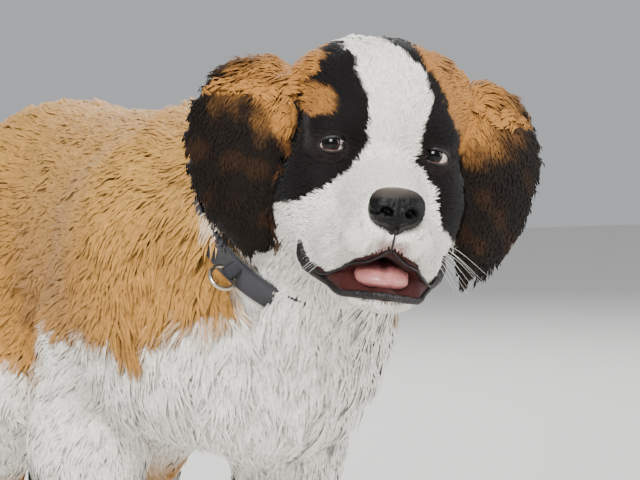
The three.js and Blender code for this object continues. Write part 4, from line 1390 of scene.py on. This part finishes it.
def make_ring(point, way):
    """The ring for a lead, and the loop of webbing that holds it to the band at point."""
    at = to_dog(np.mean(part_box("collar_ring"), axis=0))
    bm = bmesh.new()
    path = [point - COLLAR_AXIS * 9 - way * 2, point - COLLAR_AXIS * 6 + way * 1.5, at - way * 5,
            point + COLLAR_AXIS * 6 + way * 1.5, point + COLLAR_AXIS * 9 - way * 2]
    line = catmull(path, 5)
    tube(bm, line, np.full(len(line), 5.0), 0.22, np.tile(way, (len(line), 1)), 12)
    material = webbing("nylon_keeper", 900, 0x121216, 0x24242C, "Object")[0]
    mesh_object("ring_keeper", finished("ring_keeper", bm), material)
    angles = np.linspace(0, 2 * math.pi, 40, endpoint=False)
    along = np.cross(COLLAR_AXIS, way)
    hoop = at + RING_RADIUS * (np.cos(angles)[:, None] * way + np.sin(angles)[:, None] * along)
    bm = bmesh.new()
    tube(bm, hoop, np.full(len(hoop), RING_BAR), 1, np.tile(COLLAR_AXIS, (len(hoop), 1)), 12, closed=True)
    # Plated steel: a bright warm hoop with clear reflections
    material, _, shader = new_material("plated_steel", Metallic=1.0, Roughness=0.22)
    shader.inputs["Base Color"].default_value = srgb(0xCFC6B2)
    mesh_object("lead_ring", finished("lead_ring", bm), material, ["collar_ring"])


# Stage, in metres and watts
FLOOR_HALF = 6.0
SKY_STRENGTH = 0.6
LOOK_AT = (0, -150, 330)  # the dog's middle, that every lamp faces, in its own frame
LAMPS = {  # place, power and width
    "key": ((-1.9, -2.6, 2.7), 225, 1.6),
    "fill": ((2.6, -2.0, 1.4), 70, 2.2),
    "rim": ((1.2, 2.8, 2.3), 110, 1.4),
}


def make_stage():
    """A pale floor, an even pale sky and three soft lamps."""
    bm = bmesh.new()
    bmesh.ops.create_grid(bm, x_segments=2, y_segments=2, size=FLOOR_HALF)
    floor = bpy.data.objects.new("floor", finished("floor", bm))
    bpy.context.scene.collection.objects.link(floor)
    # Matt pale studio floor: takes a soft shadow and no clear reflection
    material, _, shader = new_material("pale_floor", Roughness=0.6)
    shader.inputs["Base Color"].default_value = srgb(0xDEDCD8)
    floor.data.materials.append(material)
    world = bpy.data.worlds.new("studio")
    bpy.context.scene.world = world
    world.use_nodes = True
    sky = world.node_tree.nodes["Background"]
    sky.inputs["Color"].default_value = srgb(0xE4E6EA)
    sky.inputs["Strength"].default_value = SKY_STRENGTH
    middle = Vector(to_frame(LOOK_AT))
    for name, (place, power, wide) in LAMPS.items():
        lamp = bpy.data.lights.new(name, "AREA")
        lamp.energy, lamp.size = power, wide
        light = bpy.data.objects.new(name, lamp)
        light.location = place
        light.rotation_euler = (middle - Vector(place)).to_track_quat("-Z", "Y").to_euler()
        bpy.context.scene.collection.objects.link(light)


def make_camera():
    """The camera at the photograph's place, angle and lens."""
    lens = bpy.data.cameras.new("camera")
    lens.sensor_fit, lens.sensor_width = "HORIZONTAL", SENSOR
    lens.lens = FOCAL_PIXELS / PHOTO_WIDTH * SENSOR
    camera = bpy.data.objects.new("camera", lens)
    turn = math.radians(CAMERA_FROM)
    place = (-math.sin(turn) * CAMERA_DISTANCE, -math.cos(turn) * CAMERA_DISTANCE, CAMERA_HEIGHT)
    camera.location = Vector(to_frame(place))
    heading, down = math.radians(CAMERA_HEADING), math.radians(CAMERA_DOWN)
    forward = Vector((math.sin(heading), math.cos(heading), -math.tan(down)))
    camera.rotation_euler = forward.to_track_quat("-Z", "Y").to_euler()
    bpy.context.scene.collection.objects.link(camera)
    bpy.context.scene.camera = camera


# The add-on
def coat_colour_property(name, description, hex_value):
    return FloatVectorProperty(name=name, description=description, default=srgb(hex_value)[:3], size=3,
                               subtype="COLOR", min=0, max=1)


class PuppyColours(bpy.types.PropertyGroup):
    """Colours of skin and coat that a user would change."""

    tan: coat_colour_property("Tan", "Back and sides", 0xC8954C)
    gold: coat_colour_property("Gold", "Crown, roots of the ears and shading of the sides", 0xB0783A)
    sable: coat_colour_property("Sable", "Dark tips over the tan and at the rims of the ears", 0x7A4C26)
    white: coat_colour_property("White", "Blaze, muzzle, bib, belly, legs and tip of the tail", 0xFBF6EA)
    mask: coat_colour_property("Mask", "Round the eyes", 0x0F0C0B)
    ear: coat_colour_property("Ears", "The hanging part of the ears", 0x160F09)
    lid: coat_colour_property("Lids", "Skin just round the eyes", 0x2A2221)
    lip: coat_colour_property("Freckles", "Specks on the flews", 0x3A2422)
    pink: coat_colour_property("Pink", "Skin under the nose", 0x9C6A64)
    mouth: coat_colour_property("Mouth", "Inside of the mouth", 0x3A1512)


class PuppySizes(bpy.types.PropertyGroup):
    """Sizes of the coat that a user would change."""

    coat_scale: FloatProperty(name="Coat length", description="Length of all hair, against the puppy's own",
                              default=1.0, min=0.3, max=2.0, subtype="FACTOR")
    curl: FloatProperty(name="Wave", description="How far the hair waves from side to side", default=1.0,
                        min=0, max=3, subtype="FACTOR")
    whiskers: IntProperty(name="Whiskers", description="Bristles on each side of the muzzle", default=11,
                          min=0, max=40)


class OBJECT_OT_puppy_skin(bpy.types.Operator):
    """One skin over all the flesh."""

    bl_idname = "object.puppy_skin"
    bl_label = "Skin"

    def execute(self, context):
        make_skin()
        return {"FINISHED"}


class OBJECT_OT_puppy_coat(bpy.types.Operator):
    """Tufts of fur over the skin."""

    bl_idname = "object.puppy_coat"
    bl_label = "Coat"

    def execute(self, context):
        make_coat(bpy.data.objects["skin"], context.scene.puppy_sizes)
        return {"FINISHED"}


class OBJECT_OT_puppy_face(bpy.types.Operator):
    """Eyes, lids, nose, mouth and whiskers."""

    bl_idname = "object.puppy_face"
    bl_label = "Face"

    def execute(self, context):
        make_eyes()
        make_lids()
        make_nose()
        make_mouth()
        make_whiskers(context.scene.puppy_sizes.whiskers)
        return {"FINISHED"}


class OBJECT_OT_puppy_claws(bpy.types.Operator):
    """Claws of the four feet."""

    bl_idname = "object.puppy_claws"
    bl_label = "Claws"

    def execute(self, context):
        make_claws()
        return {"FINISHED"}


class OBJECT_OT_puppy_collar(bpy.types.Operator):
    """Webbing collar and its ring."""

    bl_idname = "object.puppy_collar"
    bl_label = "Collar"

    def execute(self, context):
        points, ways = collar_ring_points()
        make_collar(points, ways)
        make_ring(points[0], ways[0])
        return {"FINISHED"}


class OBJECT_OT_puppy_stage(bpy.types.Operator):
    """Floor, lights and camera."""

    bl_idname = "object.puppy_stage"
    bl_label = "Stage"

    def execute(self, context):
        make_stage()
        make_camera()
        return {"FINISHED"}


OPERATORS = (OBJECT_OT_puppy_stage, OBJECT_OT_puppy_skin, OBJECT_OT_puppy_coat, OBJECT_OT_puppy_face,
             OBJECT_OT_puppy_claws, OBJECT_OT_puppy_collar)


class VIEW3D_PT_puppy(bpy.types.Panel):
    """Lists the pieces in the 3D view's sidebar."""

    bl_label = "Saint Bernard Puppy"
    bl_idname = "VIEW3D_PT_puppy"
    bl_space_type = "VIEW_3D"
    bl_region_type = "UI"
    bl_category = "Puppy"

    def draw(self, context):
        for group in (context.scene.puppy_sizes, context.scene.puppy_colours):
            for name in type(group).__annotations__:
                self.layout.prop(group, name)
        for operator in OPERATORS:
            self.layout.operator(operator.bl_idname)


CLASSES = (PuppySizes, PuppyColours, *OPERATORS, VIEW3D_PT_puppy)


def register():
    for cls in CLASSES:
        bpy.utils.register_class(cls)
    bpy.types.Scene.puppy_sizes = PointerProperty(type=PuppySizes)
    bpy.types.Scene.puppy_colours = PointerProperty(type=PuppyColours)


def unregister():
    del bpy.types.Scene.puppy_colours
    del bpy.types.Scene.puppy_sizes
    for cls in reversed(CLASSES):
        bpy.utils.unregister_class(cls)


def main():
    register()
    bpy.ops.object.puppy_stage()
    bpy.ops.object.puppy_skin()
    bpy.ops.object.puppy_coat()
    bpy.ops.object.puppy_face()
    bpy.ops.object.puppy_claws()
    bpy.ops.object.puppy_collar()


if __name__ == "__main__":
    main()
